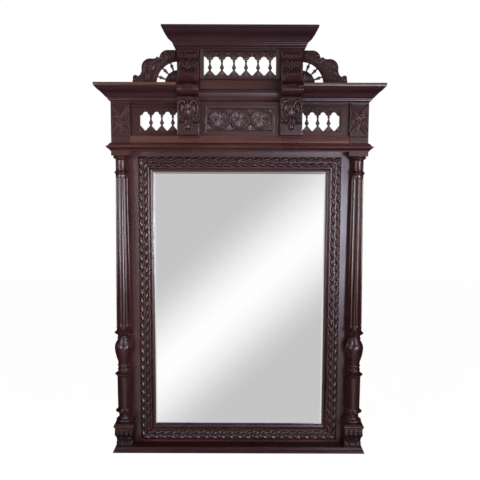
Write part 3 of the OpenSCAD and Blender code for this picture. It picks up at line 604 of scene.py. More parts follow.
def walnut(name, axis, tone=1.0, carved=False, rubbed=0.0, shine=0.5, smooth=0.0, worn=None):
    """Dark stained walnut with its grain along an axis.

    tone scales the stain's colour, and a share of the light edge brown can be added: painted light on
    parts that look lit. Carved walnut is darker in its hollows, wax with painted shade, and shows wear
    on its edges.
    shine is the strength of the reflections, and smooth takes that much from the roughness. Between two
    given heights, in millimetres, a strip of the light edge brown is painted on as a highlight where
    light catches it.
    """
    finish = bpy.context.scene.mirror_finish
    material, tree = fresh_material(name)
    scale = [GRAIN_ACROSS] * 3
    scale["xyz".index(axis)] = GRAIN_ALONG
    place = object_space(tree)
    along = stretched(tree, place, scale)
    streak = noise(tree, along, 1.0, 5.0, 0.6)
    fibre = noise(tree, along, 9.0, 3.0)
    cloud = noise(tree, place, 3.0, 4.0)
    share = remap(tree, maths(tree, "ADD", maths(tree, "MULTIPLY", streak, 0.6),
                              maths(tree, "MULTIPLY", cloud, 0.4)), 0.30, 0.70)
    # A share of the light edge brown lifts the stain: painted light on parts that look lit
    dark = [c * tone + rubbed * w * 0.5 for c, w in zip(finish.walnut_dark, finish.walnut_worn_and_lit)]
    light = [c * tone + rubbed * w for c, w in zip(finish.walnut_light, finish.walnut_worn_and_lit)]
    colour = mixed(tree, share, dark, light)
    pores = remap(tree, fibre, 0.30, 0.52, 0.74, 1.0)
    colour = mixed(tree, 1.0, colour, node(tree, "ShaderNodeCombineColor", {
        "Red": pores, "Green": pores, "Blue": pores}).outputs[0], "MULTIPLY")
    polish = finish.polish - smooth
    rough = remap(tree, cloud, 0.3, 0.7, polish - 0.03, polish + 0.04)
    # Painted highlight: a strip of the light edge brown between two heights, where light catches the
    # edge
    if worn:
        height = node(tree, "ShaderNodeSeparateXYZ", {0: place}).outputs["Z"]
        inside = maths(tree, "MINIMUM", remap(tree, height, (worn[0] - 1) * MM, worn[0] * MM),
                       remap(tree, height, (worn[1] + 1) * MM, worn[1] * MM))
        amount = maths(tree, "MULTIPLY", inside, remap(tree, cloud, 0.35, 0.6, 0.18, 0.5))
        colour = mixed(tree, amount, colour, finish.walnut_worn_and_lit)
    if carved:
        point = node(tree, "ShaderNodeNewGeometry").outputs["Pointiness"]
        hollow = remap(tree, point, 0.49, 0.43)
        raised = maths(tree, "MULTIPLY", remap(tree, point, 0.515, 0.60),
                       remap(tree, noise(tree, place, 22.0, 3.0), 0.38, 0.62))
        # Painted shade with wax: the hollows are darkened
        colour = mixed(tree, maths(tree, "MULTIPLY", hollow, 0.6), colour, HOLLOW_WAX_AND_SHADE)
        colour = mixed(tree, maths(tree, "MULTIPLY", raised, finish.wear), colour, finish.walnut_worn_and_lit)
        rough = maths(tree, "ADD", rough, maths(tree, "MULTIPLY", hollow, 0.25))
    bump = node(tree, "ShaderNodeBump", {
        "Strength": 0.05 if smooth else 0.25, "Distance": 0.0004, "Height": fibre})
    shader(tree, {
        "Base Color": colour, "Roughness": rough, "Normal": bump.outputs["Normal"], "IOR": 1.5,
        "Specular IOR Level": shine, "Coat Weight": 0.24 * shine, "Coat Roughness": 0.2})
    return material


def silvered_glass(name):
    """Silvered glass with a very faint haze and a few duller specks."""
    finish = bpy.context.scene.mirror_finish
    material, tree = fresh_material(name)
    place = object_space(tree)
    haze = remap(tree, noise(tree, place, 3.0, 2.0), 0.35, 0.75, 0.0, 0.012)
    tint = mixed(tree, remap(tree, noise(tree, place, 30.0, 4.0), 0.72, 0.9, 0.0, 0.25),
                 finish.silver, [0.94 * c for c in finish.silver])
    shader(tree, {"Base Color": tint, "Metallic": 1.0, "Roughness": haze})
    return material


def softwood(name):
    """Aged pine, its grain upright."""
    finish = bpy.context.scene.mirror_finish
    material, tree = fresh_material(name)
    place = object_space(tree)
    along = stretched(tree, place, (55, 55, 2.2))
    streak = noise(tree, along, 1.0, 5.0, 1.2)
    cloud = noise(tree, place, 5.0, 3.0)
    light = finish.pine
    colour = mixed(tree, remap(tree, streak, 0.38, 0.6), [0.55 * c for c in light], light)
    colour = mixed(tree, remap(tree, cloud, 0.45, 0.7, 0.0, 0.5), colour, [0.4 * c for c in light])
    bump = node(tree, "ShaderNodeBump", {"Strength": 0.4, "Distance": 0.0006, "Height": streak})
    shader(tree, {"Base Color": colour, "Roughness": remap(tree, streak, 0.3, 0.7, 0.6, 0.8),
                  "Normal": bump.outputs["Normal"]})
    return material


def black_iron(name):
    """Blackened iron with a little rust."""
    finish = bpy.context.scene.mirror_finish
    material, tree = fresh_material(name)
    place = object_space(tree)
    rust = remap(tree, noise(tree, place, 90.0, 5.0), 0.5, 0.68)
    colour = mixed(tree, rust, finish.iron, (0.13, 0.055, 0.028))
    bump = node(tree, "ShaderNodeBump", {"Strength": 0.4, "Distance": 0.0004, "Height": rust})
    metallic = remap(tree, rust, 0.0, 1.0, 0.9, 0.2)
    rough = remap(tree, rust, 0.0, 1.0, 0.42, 0.75)
    shader(tree, {"Base Color": colour, "Metallic": metallic, "Roughness": rough,
                  "Normal": bump.outputs["Normal"]})
    return material


STRING_NOSE = 0.45 * STRING_Z + 0.55 * FRIEZE_Z
# Heights of the painted highlight strips on the string's nose and the cornice's top fascia
STRING_LIT_BAND = (STRING_NOSE, STRING_NOSE + 5)
CORNICE_LIT_BAND = (DECK_Z - 9, DECK_Z)

# What walnut takes for each of its finishes
WALNUTS = {
    "walnut_x": {"axis": "x"},
    "walnut_y": {"axis": "y"},
    "walnut_z": {"axis": "z"},
    "dull_walnut_x": {"axis": "x", "tone": 0.85, "shine": 0.28},
    "dull_walnut_z": {"axis": "z", "tone": 1.1, "rubbed": 0.02, "shine": 0.2},
    "ledge_walnut_x": {"axis": "x", "tone": 0.9, "shine": 0.3},
    # A lighter copy of the walnut: painted light on the rails, which look lit
    "rubbed_walnut_x": {"axis": "x", "tone": 1.2, "rubbed": 0.21},
    # A lighter copy of the walnut: painted light on the stiles, which look lit
    "hazed_walnut_z": {"axis": "z", "tone": 1.4, "rubbed": 0.055},
    "turned_walnut_z": {"axis": "z", "tone": 0.9, "shine": 0.4},
    "polished_walnut_z": {"axis": "z", "tone": 0.9, "rubbed": 0.01, "shine": 0.42, "smooth": 0.1},
    # The next four carry a painted highlight strip at the heights given
    "edged_walnut_x": {"axis": "x", "shine": 0.4, "worn": CORNICE_LIT_BAND},
    "edged_walnut_y": {"axis": "y", "shine": 0.4, "worn": CORNICE_LIT_BAND},
    "lined_walnut_x": {"axis": "x", "shine": 0.4, "worn": STRING_LIT_BAND},
    "lined_walnut_y": {"axis": "y", "shine": 0.4, "worn": STRING_LIT_BAND},
    "carved_walnut_x": {"axis": "x", "tone": 0.92, "carved": True},
    "carved_walnut_z": {"axis": "z", "tone": 0.92, "carved": True},
    "dull_carved_x": {"axis": "x", "tone": 0.8, "carved": True, "rubbed": 0.03, "shine": 0.25},
    "deep_walnut_z": {"axis": "z", "tone": 0.8, "carved": True, "rubbed": 0.02, "shine": 0.22},
    "dark_walnut_z": {"axis": "z", "tone": 0.5, "carved": True, "shine": 0.2},
}
OTHER_FINISHES = {"looking_glass": silvered_glass, "aged_pine": softwood, "black_iron": black_iron}


def finish_named(name):
    """The finish of that name, made the first time that it is asked for."""
    if name in bpy.data.materials:
        return bpy.data.materials[name]
    if name in WALNUTS:
        return walnut(name, **WALNUTS[name])
    return OTHER_FINISHES[name](name)


def dress(names, finish):
    """Gives nodes that stay as they are their finish."""
    for name in names:
        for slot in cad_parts[name].material_slots:
            slot.material = finish_named(finish)


def place_piece(piece, finish, slot, *nodes):
    """Gives a new piece its finish, hangs it under the root and hides the nodes that it stands for."""
    piece.data.materials.clear()
    piece.data.materials.append(finish_named(finish))
    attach(piece, "root")
    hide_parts(*nodes)


def place_pair(piece, finish, slot, kind):
    """A right-hand piece and its left-hand copy, named and placed for both sides."""
    left = mirrored(piece, "carved_left_" + kind)
    piece.name = piece.data.name = "carved_right_" + kind
    place_piece(piece, finish, slot, "right_" + kind)
    place_piece(left, finish, slot, "left_" + kind)


# Frame round the glass

BAND_MIDDLE = 41.25


def frame_carving(a, s, length, joint):
    """Carving of the frame's band: two rows of links, a leaf in each corner and a bar at the joint."""
    whole = length + 2 * BAND_MIDDLE
    pitch = whole / round(whole / carving_size("link_pitch"))
    height = braid(a + BAND_MIDDLE, s - BAND_MIDDLE, pitch, carving_size("link_row"),
                   carving_size("link_width") / 2)
    beyond = np.maximum(-a, a - length)
    height = np.maximum(height, leaf(beyond, s, (43, 43), 45, 24, 17, 0, 0.4, 2))
    if joint:
        height = np.maximum(height, ring(a, length / 2, 1.8))
    return height


def frame_side(name, length, place, joint=False):
    """One mitred length of the frame. place(a, s, d): along it, out from the sight edge, forward."""
    band_in, band_out, ground = 22, 60.6, 3.7
    section = [(12, 0), (12, -13), (0, -13), (0, -5.4), (0.8, -4.6)]
    section += arc(2, 7.5, 11.9, -92, -8, 9)
    section += [(15.2, 9.2), (15.8, 9.9), (20, 9.9), (20.8, 9.2), (21.4, 5)]
    section += [(s, ground) for s in np.arange(band_in, band_out, 1.28)]
    section += [(60.9, 7.6), (61.4, 8.2), (62.5, 8.2), (63, 7.7), (63, 0), (12, 0)]
    section = np.array(section)
    rows = round((length + 2 * MOULD_W) / carving_size("band_step"))

    def points(u, v):
        column = np.rint(u * (len(section) - 1)).astype(int)
        s, d = section[column, 0], section[column, 1]
        a = -s + v * (length + 2 * s)
        carved = (s > band_in - 0.1) & (s < band_out + 0.1)
        rise = carved * ease(21.5, 24, s) * ease(61, 58.5, s) * carving_size("link_rise")
        return place(a, s, d + rise * frame_carving(a, s, length, joint))

    return skin(name, len(section) - 1, rows, points, 50)


def make_frame():
    """Carved mouldings round the glass: two uprights, a top with a joint in its middle, and a bottom."""
    tall = SIGHT_Z1 - SIGHT_Z0
    wide = 2 * SIGHT_X
    right = frame_side("carved_frame_right", tall, lambda a, s, d: (
        SIGHT_X + s, BOARD_Y - d, SIGHT_Z0 + a))
    place_pair(right, "carved_walnut_z", "carved_walnut", "frame_moulding")
    top = frame_side("carved_frame_top", wide, lambda a, s, d: (
        a - SIGHT_X, BOARD_Y - d, SIGHT_Z1 + s), True)
    place_piece(top, "carved_walnut_x", "carved_walnut", "top_frame_moulding")
    bottom = frame_side("carved_frame_bottom", wide, lambda a, s, d: (
        a - SIGHT_X, BOARD_Y - d, SIGHT_Z0 - s))
    place_piece(bottom, "carved_walnut_x", "carved_walnut", "bottom_frame_moulding")


# Columns

def baluster_profile():
    """Radius and height of the turned lower part of a column."""
    high = SHAFT_Z - BASE_Z
    r = COLUMN_R
    neck = r - 13.8
    slope = 0.027 * high

    def collar(share, under, over):
        z = share * high
        nose = [(r - 1.6, z - 1.5), (r - 0.5, z - 0.9), (r, z), (r - 0.5, z + 0.9), (r - 1.6, z + 1.5)]
        return [(under, z - slope), ((under + r) / 2 - 0.8, z - 0.52 * slope)] + nose + [
            ((over + r) / 2 - 0.8, z + 0.52 * slope), (over, z + slope)]

    def bead_ring(share, out, half):
        z = share * high
        middle = [(neck + out * x, z + half * y) for x, y in arc(0, 0, 1, -90, 90, 8)]
        return [(neck, z - half - 0.4)] + middle + [(neck, z + half + 0.4)]

    profile = [(0, 0), (r - 1, 0), (r - 0.4, 0.6), (r - 0.4, 3), (r - 2, 4)]
    profile += arc(r - 8.6, 10.6, 6.8, -70, 84, 10)
    profile += [(neck + 3.4, 18.4), (neck + 1.4, 20), (neck + 0.3, 23), (neck, 27), (neck, 0.088 * high)]
    profile += collar(0.127, neck, 30) + [(30, 0.162 * high), (30.6, 0.3 * high), (31, 0.49 * high)]
    profile += collar(0.528, 31, neck) + bead_ring(0.576, 2.6, 4.6) + bead_ring(0.621, 2.4, 3.4)
    profile += [(neck, 0.64 * high), (neck + 0.4, 0.655 * high)]
    for i in range(1, 16):
        t = 1 - i / 16
        profile.append((neck + 13.6 * math.cos(math.pi / 2 * t) ** 0.95, (0.813 - 0.153 * t) * high))
    for i in range(13):
        t = i / 12
        profile.append((neck + 0.4 + 13.2 * math.cos(math.pi / 2 * t), (0.813 + 0.084 * t) * high))
    profile += bead_ring(0.913, 2.2, 3.6) + collar(0.971, neck, 30.4)
    return profile + [(29, high), (0, high)]


def make_balusters():
    """Turned balusters, on the brackets."""
    centre = (COLUMN_X, BOARD_Y - COLUMN_D, BASE_Z)
    baluster = turned("turned_baluster", baluster_profile(), centre, 72)
    place_pair(baluster, "turned_walnut_z", "turned_walnut", "baluster")


def make_shafts():
    """Fluted shafts: every flute has its own columns of the mesh, so that its edges stay crisp."""
    flutes = 9
    per, in_flute = 22, 15
    high = CAPITAL_Z - SHAFT_Z
    low, top = 24, high - 74
    heights = [0, 0.01, 3, 6, 13, 14, 15]
    heights += list(np.arange(low - 9.6, low + 2, 0.6)) + list(np.linspace(low + 12, top - 12, 24))
    heights += list(np.arange(top - 2, top + 8.4, 0.6)) + [high - 64]
    radii = [(0, 28.6), (0.01, 28.6), (3, 30), (6, 31), (14, 31), (high - 61, 24), (high - 57, 24.6),
             (high - 54, 26.6), (high - 51.4, 29), (high - 50.6, 29.4), (high - 50, 29.5),
             (high - 49.2, 29.3), (high - 48.4, 28.6), (high - 45, 25.4), (high - 41, 22.6),
             (high - 38, 21.3), (high - 35, 21), (high, 21)]
    heights = np.array(sorted(set(heights) | {h for h, _ in radii}))
    radius = np.interp(heights, [h for h, _ in radii], [r for _, r in radii])

    def points(u, v):
        row = np.rint(v * (len(heights) - 1)).astype(int)
        z, r = heights[row], radius[row]
        tool = 0.26 * r
        sunk = carving_size("flute_depth") * r / 27 - tool
        column = np.rint(u * per * flutes).astype(int)
        sector, step = column // per, column % per
        half = np.sqrt(tool ** 2 - sunk ** 2) / r
        across = half * -np.cos(np.pi * np.clip(step / in_flute, 0, 1))
        plain = half + (2 * np.pi / flutes - 2 * half) * (step - in_flute) / (per - in_flute)
        angle = np.where(step <= in_flute, across, plain)
        beyond = np.maximum(low - z, z - top).clip(0)
        hollow = np.sqrt(np.clip(tool ** 2 - (angle * r) ** 2 - beyond ** 2, 0, None)) + sunk
        hollow = np.where(step <= in_flute, np.clip(hollow, 0, None), 0)
        turn = angle + sector * 2 * np.pi / flutes - np.pi / 2 + 0.14
        return (COLUMN_X + (r - hollow) * np.cos(turn), BOARD_Y - COLUMN_D + (r - hollow) * np.sin(turn),
                SHAFT_Z + z)

    shaft = skin("fluted_shaft", per * flutes, len(heights) - 1, points, 28)
    place_pair(shaft, "polished_walnut_z", "turned_walnut", "fluted_shaft")


def square_ring(half, z):
    """Corners of a square layer round the column, its back against the boards."""
    x0, x1 = COLUMN_X - half, COLUMN_X + half
    y0 = BOARD_Y - COLUMN_D - half
    return [(x0, y0, z), (x1, y0, z), (x1, BOARD_Y, z), (x0, BOARD_Y, z)]


def make_capitals():
    """Capitals: a turned bell, and a square block on it up to the string moulding."""
    turned_high = 19
    z1 = CAPITAL_Z + turned_high
    profile = [(0, 0), (22, 0), (22.6, 0.6), (22.6, 1.8)]
    profile += [(22.8 + 7.4 * (1 - math.cos(math.radians(9 * i))), 2.2 + 0.66 * i) for i in range(10)]
    profile += [(31, 8.4), (31, 9.2)] + arc(30.6, 12.4, 3.4, -60, 70, 8)
    profile += [(31.4, 16.4), (31.4, turned_high + 1), (0, turned_high + 1)]
    bell = turned("capital_bell", profile, (COLUMN_X, BOARD_Y - COLUMN_D, CAPITAL_Z), 64)
    rings = []
    for back, z in ((1.2, z1), (0, z1 + 1.2), (0, STRING_Z - 1), (0.6, STRING_Z)):
        x0, x1, y0 = CAP_LOW[0] + back, CAP_HIGH[0] - back, CAP_LOW[1] + back
        rings.append([(x0, y0, z), (x1, y0, z), (x1, BOARD_Y, z), (x0, BOARD_Y, z)])
    capital = joined("capital", [bell, layers("capital_block", rings)])
    place_pair(capital, "dull_walnut_z", "turned_walnut", "capital")


def make_brackets():
    """Brackets under the columns: tongues of leaf that curl over, with ribs and two scrolls below."""
    rise, cap_high = 5.0, 18
    high = BASE_Z - cap_high - LEDGE_Z
    drawn_high = 92
    widths = np.array([(0, 36), (30, 35.4), (48, 36.4), (58, 39), (drawn_high, 39)])
    front_line = np.array([(60, 0), (61, 10), (58, 22), (58, 34), (62, 44), (71, 52), (79, 60), (81, 68),
                           (81, 78), (79.4, 86), (79, drawn_high)])
    path = evenly([(-1, 0), (-1, 1)], 1 / 26)
    path += evenly([(-1, 1), (1, 1)], 1 / 26)[1:] + evenly([(1, 1), (1, 0)], 1 / 26)[1:]
    path += [(0, 0), (-1, 0)]
    path = np.array(path)

    def face(x, z):
        low = 0.9 * palmette(x, z, (0, 0.03 * high), 0, 0.52 * high, 62, 5, 0.3, 8)
        tongues = np.zeros(len(x))
        for cx in (-30, -10, 10, 30):
            q = np.clip(np.abs(x - cx) / 9.4, 0, 1)
            curl = 0.45 + 0.75 * ease(0.86, 0.64, z / high)
            foot = 0.56 + 0.06 * q ** 2
            tongue = (1 - q ** 2.6) ** 0.5 * (1 - 0.3 * np.exp(-(q / 0.2) ** 2)) * curl
            tongues = np.maximum(tongues, tongue * ease(foot, foot + 0.035, z / high))
        scroll = np.maximum(volute(x - 17, z - 14, 13, 1.6), volute(-x - 17, z - 14, 13, 1.6))
        return np.maximum.reduce([low * (z < 0.56 * high), tongues * ease(0.98, 0.92, z / high), scroll])

    def points(u, v):
        px, py = chain(path, u)
        z = v * high
        drawn = z / high * drawn_high
        front = np.interp(drawn, front_line[:, 1], front_line[:, 0])
        half = np.interp(drawn, widths[:, 0], widths[:, 1])
        fade = ease(1.0, 0.95, np.abs(px)) * (py > 0.999)
        fade_side = (np.abs(px) > 0.999) * ease(0, 0.1, py) * ease(1, 0.93, py)
        x = COLUMN_X + px * half + np.sign(px) * fade_side * rise * 0.6 * face((py - 0.5) * 70, z)
        d = py * (front + fade * rise * face(px * half, z))
        return x, BOARD_Y - d, LEDGE_Z + z

    body = skin("bracket_body", len(path) - 1, 68, points, 50)
    cap = layers("bracket_cap", [
        square_ring(half, BASE_Z - cap_high + z) for half, z in (
            (39, 0), (39.6, 0.8), (41, 2.4), (41.6, 4.4), (43, 5.6), (43.9, 7), (44, 8.4), (43.8, 10.4),
            (43, 12), (41.6, 13.2), (40.4, 14), (40.4, 17.4), (39.8, cap_high))])
    place_pair(joined("bracket", [body, cap]), "dark_walnut_z", "carved_walnut", "bracket")


# Mouldings

def mitred_front(name, section, x, d, left=None):
    """A moulding along the front, from left or a mitre at -x to a mitre at x. Section: out, height."""
    def place(points, end):
        out, z = points[:, 0], points[:, 1]
        if end:
            side = x + out
        elif left is None:
            side = -x - out
        else:
            side = np.full(len(out), left)
        return np.stack((side, BOARD_Y - d - out, z), 1)
    return run(name, section, place)


def mitred_return(name, section, x, d):
    """The same moulding from the mitre at x back to the wall."""
    def place(points, end):
        out, z = points[:, 0], points[:, 1]
        y = BOARD_Y - d - out if not end else np.full(len(out), BOARD_Y - WALL_D)
        return np.stack((x + out, y, z), 1)
    return run(name, section, place)


def make_string():
    """String moulding under the frieze: heights are shares of its own."""
    high = FRIEZE_Z - STRING_Z
    x, d, back = BLOCK_OUT + 4, 81, 23
    shape = [(-back, 0), (0, 0), (0, 0.08), (1.2, 0.1), (1.6, 0.14), (2.6, 0.17)]
    shape += [(13.8, 0.44), (15, 0.48), (15, 0.53), (13.8, 0.57)]
    shape += [(5.2, 0.76), (4.4, 0.8), (4.4, 0.86), (2.6, 0.88), (1.6, 0.9), (0.6, 0.93), (-2, 0.995),
              (-back, 0.995)]
    section = softened([(p, STRING_Z + q * high) for p, q in shape], 0.35)
    front = mitred_front("string_front", section, x, d)
    place_piece(front, "lined_walnut_x", "walnut", "string_moulding")
    place_pair(mitred_return("string_side", section, x, d), "lined_walnut_y", "walnut", "string_return")


def cyma(out0, z0, out1, z1, swell, count=14):
    """An S curve from a low inner point to a high outer one."""
    return [(out0 + (out1 - out0) * t - swell * math.sin(2 * math.pi * t), z0 + (z1 - z0) * t)
            for t in [i / count for i in range(count + 1)]]


def make_cornice():
    """Cornices, each from a corbel to its mitre, and their returns."""
    high = DECK_Z - CORNICE_Z
    x, d, back = BLOCK_OUT, 76, 18
    shape = [(-back, 0), (0, 0), (0.6, 3), (3.6, 4.6), (6.6, 6.8), (7.4, 8.2), (7.4, 11), (8.2, 11.8),
             (10.8, 12.6), (11.6, 13.4), (11.6, 16), (12.6, 17.2), (15, 18.6), (19, 21.4), (19.8, 23.4)]
    shape += cyma(21.4, 24.6, 54, 57.6, 1.0)
    shape += [(55.4, 58.4), (56.6, 60), (57, 64), (58, 66.4), (58, high - 0.6), (57.4, high - 0.1),
              (-back, high - 0.1)]
    section = [(p, CORNICE_Z + q) for p, q in softened(shape, 0.3)]
    front = mitred_front("cornice_front", section, x, d, CORBEL_OUT)
    place_pair(front, "edged_walnut_x", "walnut", "cornice")
    side = mitred_return("cornice_side", section, x, d)
    place_pair(side, "edged_walnut_y", "walnut", "cornice_return")


def make_crown():
    """Crown moulding and its returns."""
    high = TOP_Z - CROWN_Z
    x, d, back = CORBEL_OUT + 11, 75, 25
    shape = [(-back, 0), (0, 0), (0, 4), (1, 5), (3.6, 7), (6, 11), (6, 15.4), (6.8, 16.2), (8.6, 17.8),
             (9, 18.6), (9, 22), (10, 23), (12.4, 25.6), (13.4, 29)]
    shape += cyma(14.6, 31, 45, 70, 2.2)
    shape += [(46.6, 71), (48, 72.4), (49, 74), (49, high - 0.7), (48.4, high - 0.1),
              (-back, high - 0.1)]
    section = [(p, CROWN_Z + q) for p, q in softened(shape, 0.3)]
    front = mitred_front("crown_front", section, x, d)
    place_piece(front, "dull_walnut_x", "walnut", "crown_moulding")
    place_pair(mitred_return("crown_side", section, x, d), "walnut_y", "walnut", "crown_return")


def make_ledge():
    """Moulded ledge: layers from its flared foot up to its top, back to the wall."""
    x, d = 535, 63
    flare = corners("base_ledge")[1][0] - x
    edge = [(flare - 0.6, 0), (flare, 0.6), (flare, 3.6), (flare - 0.6, 4.4)]
    edge += [(flare - 1 - (flare - 3.4) * (1 - math.cos(math.pi * i / 8)) / 2, 5 + 11 * i / 8)
             for i in range(9)]
    edge += [(2, 17), (1.2, 17.8), (0.8, 18.4), (0.8, 19.4), (0, 20.2), (-0.4, LEDGE_Z)]
    y1 = BOARD_Y - WALL_D
    rings = [[(-x - p, BOARD_Y - d - p, z), (x + p, BOARD_Y - d - p, z), (x + p, y1, z), (-x - p, y1, z)]
             for p, z in edge]
    place_piece(layers("moulded_ledge", rings), "ledge_walnut_x", "walnut", "base_ledge")


# Boards, glass and fittings that keep their shape

def make_boards():
    """Finishes of the boards, glass, back and iron, whose shapes are the frame's own."""
    # The stiles take a lighter copy of the walnut: painted light
    dress(["left_stile", "right_stile"], "hazed_walnut_z")
    dress(["left_tower_side", "right_tower_side"], "walnut_z")
    dress(["top_rail", "string_board", "cornice_deck", "crown_board"], "walnut_x")
    # The bottom rail takes a lighter copy of the walnut: painted light
    dress(["bottom_rail"], "rubbed_walnut_x")
    dress(["mirror_glass"], "looking_glass")
    dress(["glass_blocks", "back_boards"], "aged_pine")
    dress(["back_screws", "left_hanging_plate", "right_hanging_plate"], "black_iron")


# Frieze

def straight(name, section, x0, x1):
    """A length with a section of (d, z), run across from x0 to x1."""
    def place(points, end):
        x = np.full(len(points), x1 if end else x0)
        return np.stack((x, BOARD_Y - points[:, 0], points[:, 1]), 1)
    return run(name, section, place)


def make_rail():
    """Plain rail at the foot of the frieze."""
    section = softened([(58.1, FRIEZE_Z), (73, FRIEZE_Z), (73, PANEL_Z - 4), (71.6, PANEL_Z - 2.6),
                        (71.6, PANEL_Z - 0.2), (58.1, PANEL_Z - 0.2)], 0.5)
    rail = straight("plain_rail", section, -BLOCK_IN + 0.1, BLOCK_IN - 0.1)
    # The rail takes a lighter copy of the walnut: painted light
    place_piece(rail, "rubbed_walnut_x", "walnut", "frieze_rail")


def leaf_cross(x, z):
    """Four plumes that meet at a bead, with leaves in the gaps, the corners and at the ends."""
    shape = [leaf(x, z, (0, 0), turn, 76, 22, bend, 0.4, 6) * 0.85 for turn, bend in (
        (25, 0.10), (-25, -0.10), (155, -0.10), (205, 0.10))]
    shape += [leaf(x, z, (0, 0), turn, 46, 13, bend, 0.35, 3) * 0.72 for turn, bend in (
        (56, 0.14), (-56, -0.14), (124, -0.14), (236, 0.14), (4, 0.05), (184, 0.05))]
    for sx in (1, -1):
        for sz in (1, -1):
            turn = 90 - sz * 90 - sx * sz * 14
            shape.append(leaf(x, z, (sx * 34, sz * 62), turn, 44, 13, sx * sz * 0.12, 0.4, 4) * 0.66)
    shape += [leaf(x, z, (0, side * 66), 90 - side * 90, 30, 15, 0, 0.4) * 0.6 for side in (1, -1)]
    shape += [leaf(x, z, (side * 38, 0), -side * 90, 22, 20, 0, 0.5) * 0.6 for side in (1, -1)]
    shape.append(bead(x, z, 0, 0, 6) * 0.9)
    return np.maximum.reduce(shape)


def make_end_blocks():
    """End blocks: a sunk field with its cross of leaves, and the recess for the iron plate behind."""
    mid_x = (BLOCK_IN + BLOCK_OUT) / 2
    mid_z = PANEL_Z + 64
    field_x, field_z, front_d = 37.5, 67, 75.2

    def height(x, z):
        side, up = x - mid_x, z - mid_z
        out, far = np.abs(side), np.abs(up)
        field = ease(field_x + 1, field_x - 1, out) * ease(field_z + 1, field_z - 1, far)
        carved = leaf_cross(side * 0.98, up) * (far < field_z) * (out < field_x)
        edge = ease(39.2, 38.2, out)
        return carved * carving_size("leaf_rise") - 1.2 * field - 0.5 * (1 - edge)

    block = carved_face("end_block", BLOCK_IN, BLOCK_OUT, FRIEZE_Z, CORNICE_Z, front_d, WALL_D, height,
                        carving_size("fine_step"))
    low, high = corners("right_hanging_plate")
    outline = [(low[0] - 0.1, low[2] - 0.1), (high[0] + 0.1, low[2] - 0.1),
               (high[0] + 0.1, high[2] + 0.1), (low[0] - 0.1, high[2] + 0.1)]
    cut(block, prism("plate_recess", outline, WALL_D - 1, depth(low[1])))
    place_pair(block, "deep_walnut_z", "carved_walnut", "end_block")


def leafy_flower(x, z, r):
    """A flower with six leaves behind its petals."""
    flower = rosette(x, z, r, bpy.context.scene.mirror_carving.petals)
    leaves = [0.8 * leaf(x, z, (0, 0), turn, 0.95 * r, 0.34 * r, 0.25, 0.4)
              for turn in range(10, 370, 60)]
    return np.maximum.reduce([flower] + leaves)


def make_roundels():
    """Panel with three ringed flowers in a sunk field, leaves between them and a bead round it."""
    r, pitch, mid_z = 42, 87, (PANEL_Z + ATTIC_Z) / 2
    half_x, half_z = CORBEL_IN - 33, r + 3
    field_d, back_d = 60, 42

    def height(x, z):
        up = z - mid_z
        out, far = np.abs(x), np.abs(up)
        inside = ease(half_x + 1.2, half_x - 1.2, out) * ease(half_z + 1.2, half_z - 1.2, far)
        shape = np.zeros(len(x))
        for centre in (-pitch, 0, pitch):
            distance = np.hypot(x - centre, up)
            flower = leafy_flower(x - centre, up, 31)
            dish = 0.35 * np.clip(1 - (distance / 34) ** 2, 0, 1)
            band = 0.95 * ring(distance, 38.2, 3.8) + 0.12 * ring(distance, 33, 1.2)
            shape = np.maximum(shape, np.maximum(band, flower * (distance < 33) * 0.9 - dish))
        for centre in (-1.5 * pitch, -0.5 * pitch, 0.5 * pitch, 1.5 * pitch):
            outside = np.hypot(np.abs(x - centre) - pitch / 2, up) > r + 0.5
            for root, turn in ((47, 180), (-47, 0)):
                spandrel = palmette(x, up, (centre, root), turn, 30, 40, 3, 0.5, 2)
                shape = np.maximum(shape, 0.6 * spandrel * outside)
        bead_line = 0.9 * (ring(far, half_z + 8, 1.6) * (out < half_x + 9.6)
                           + ring(out, half_x + 8, 1.6) * (far < half_z + 9.6))
        border = 7.6 + bead_line.clip(0, 0.9)
        return inside * shape * carving_size("leaf_rise") + (1 - inside) * border

    panel = carved_face("roundel_panel", -CORBEL_IN + 0.1, CORBEL_IN - 0.1, PANEL_Z, ATTIC_Z, field_d,
                        back_d, height, carving_size("fine_step"))
    place_piece(panel, "carved_walnut_x", "carved_walnut", "roundel_panel")


# Pierced galleries

MOUND_FALL = 21
ARCH_RISE = 13


def from_middle(u):
    """Share of the pitch from the middle of an opening: 0 there, 0.5 at a spindle."""
    return np.abs((np.asarray(u) + 0.5) % 1 - 0.5)


def arch_edge(u):
    """Share of the rise of an opening's top: a round head on two shoulders."""
    w = from_middle(u)
    head = 0.06 + 0.94 * np.clip(1 - (w / 0.27) ** 2, 0, 1) ** 0.5
    shoulder = -0.19 + 0.25 * np.clip(1 - ((w - 0.27) / 0.16) ** 2, 0, 1) ** 0.5
    return np.where(w < 0.27, head, shoulder)


def mound_edge(u):
    """Share of the fall of an opening's foot: a blunt point between two mounds."""
    t = np.clip((0.46 - from_middle(u)) / 0.46, 0, 1)
    return (1.011 - np.hypot(1 - t, 0.15)) / 0.861


def spindle_profile(long):
    """Radius and height of a gallery's turned spindle: a ball, a neck and two collars."""
    ball, neck = 8.4, 3.7
    profile = [(0, -0.6), (4.8, -0.6), (4.8, 0.4), (4.2, 1.2)] + arc(0, 0.26 * long, ball, -58, 62, 8)
    return profile + [
        (neck + 0.2, 0.45 * long), (neck + 1.3, 0.47 * long), (neck + 1.6, 0.49 * long),
        (neck + 1.3, 0.51 * long), (neck, 0.54 * long), (neck - 0.4, 0.64 * long), (neck, 0.76 * long),
        (neck + 1.5, 0.79 * long), (neck + 2.1, 0.82 * long), (neck + 1.5, 0.85 * long),
        (neck, 0.88 * long), (neck + 1.6, 0.96 * long), (neck + 1.6, long + 0.6), (0, long + 0.6)]


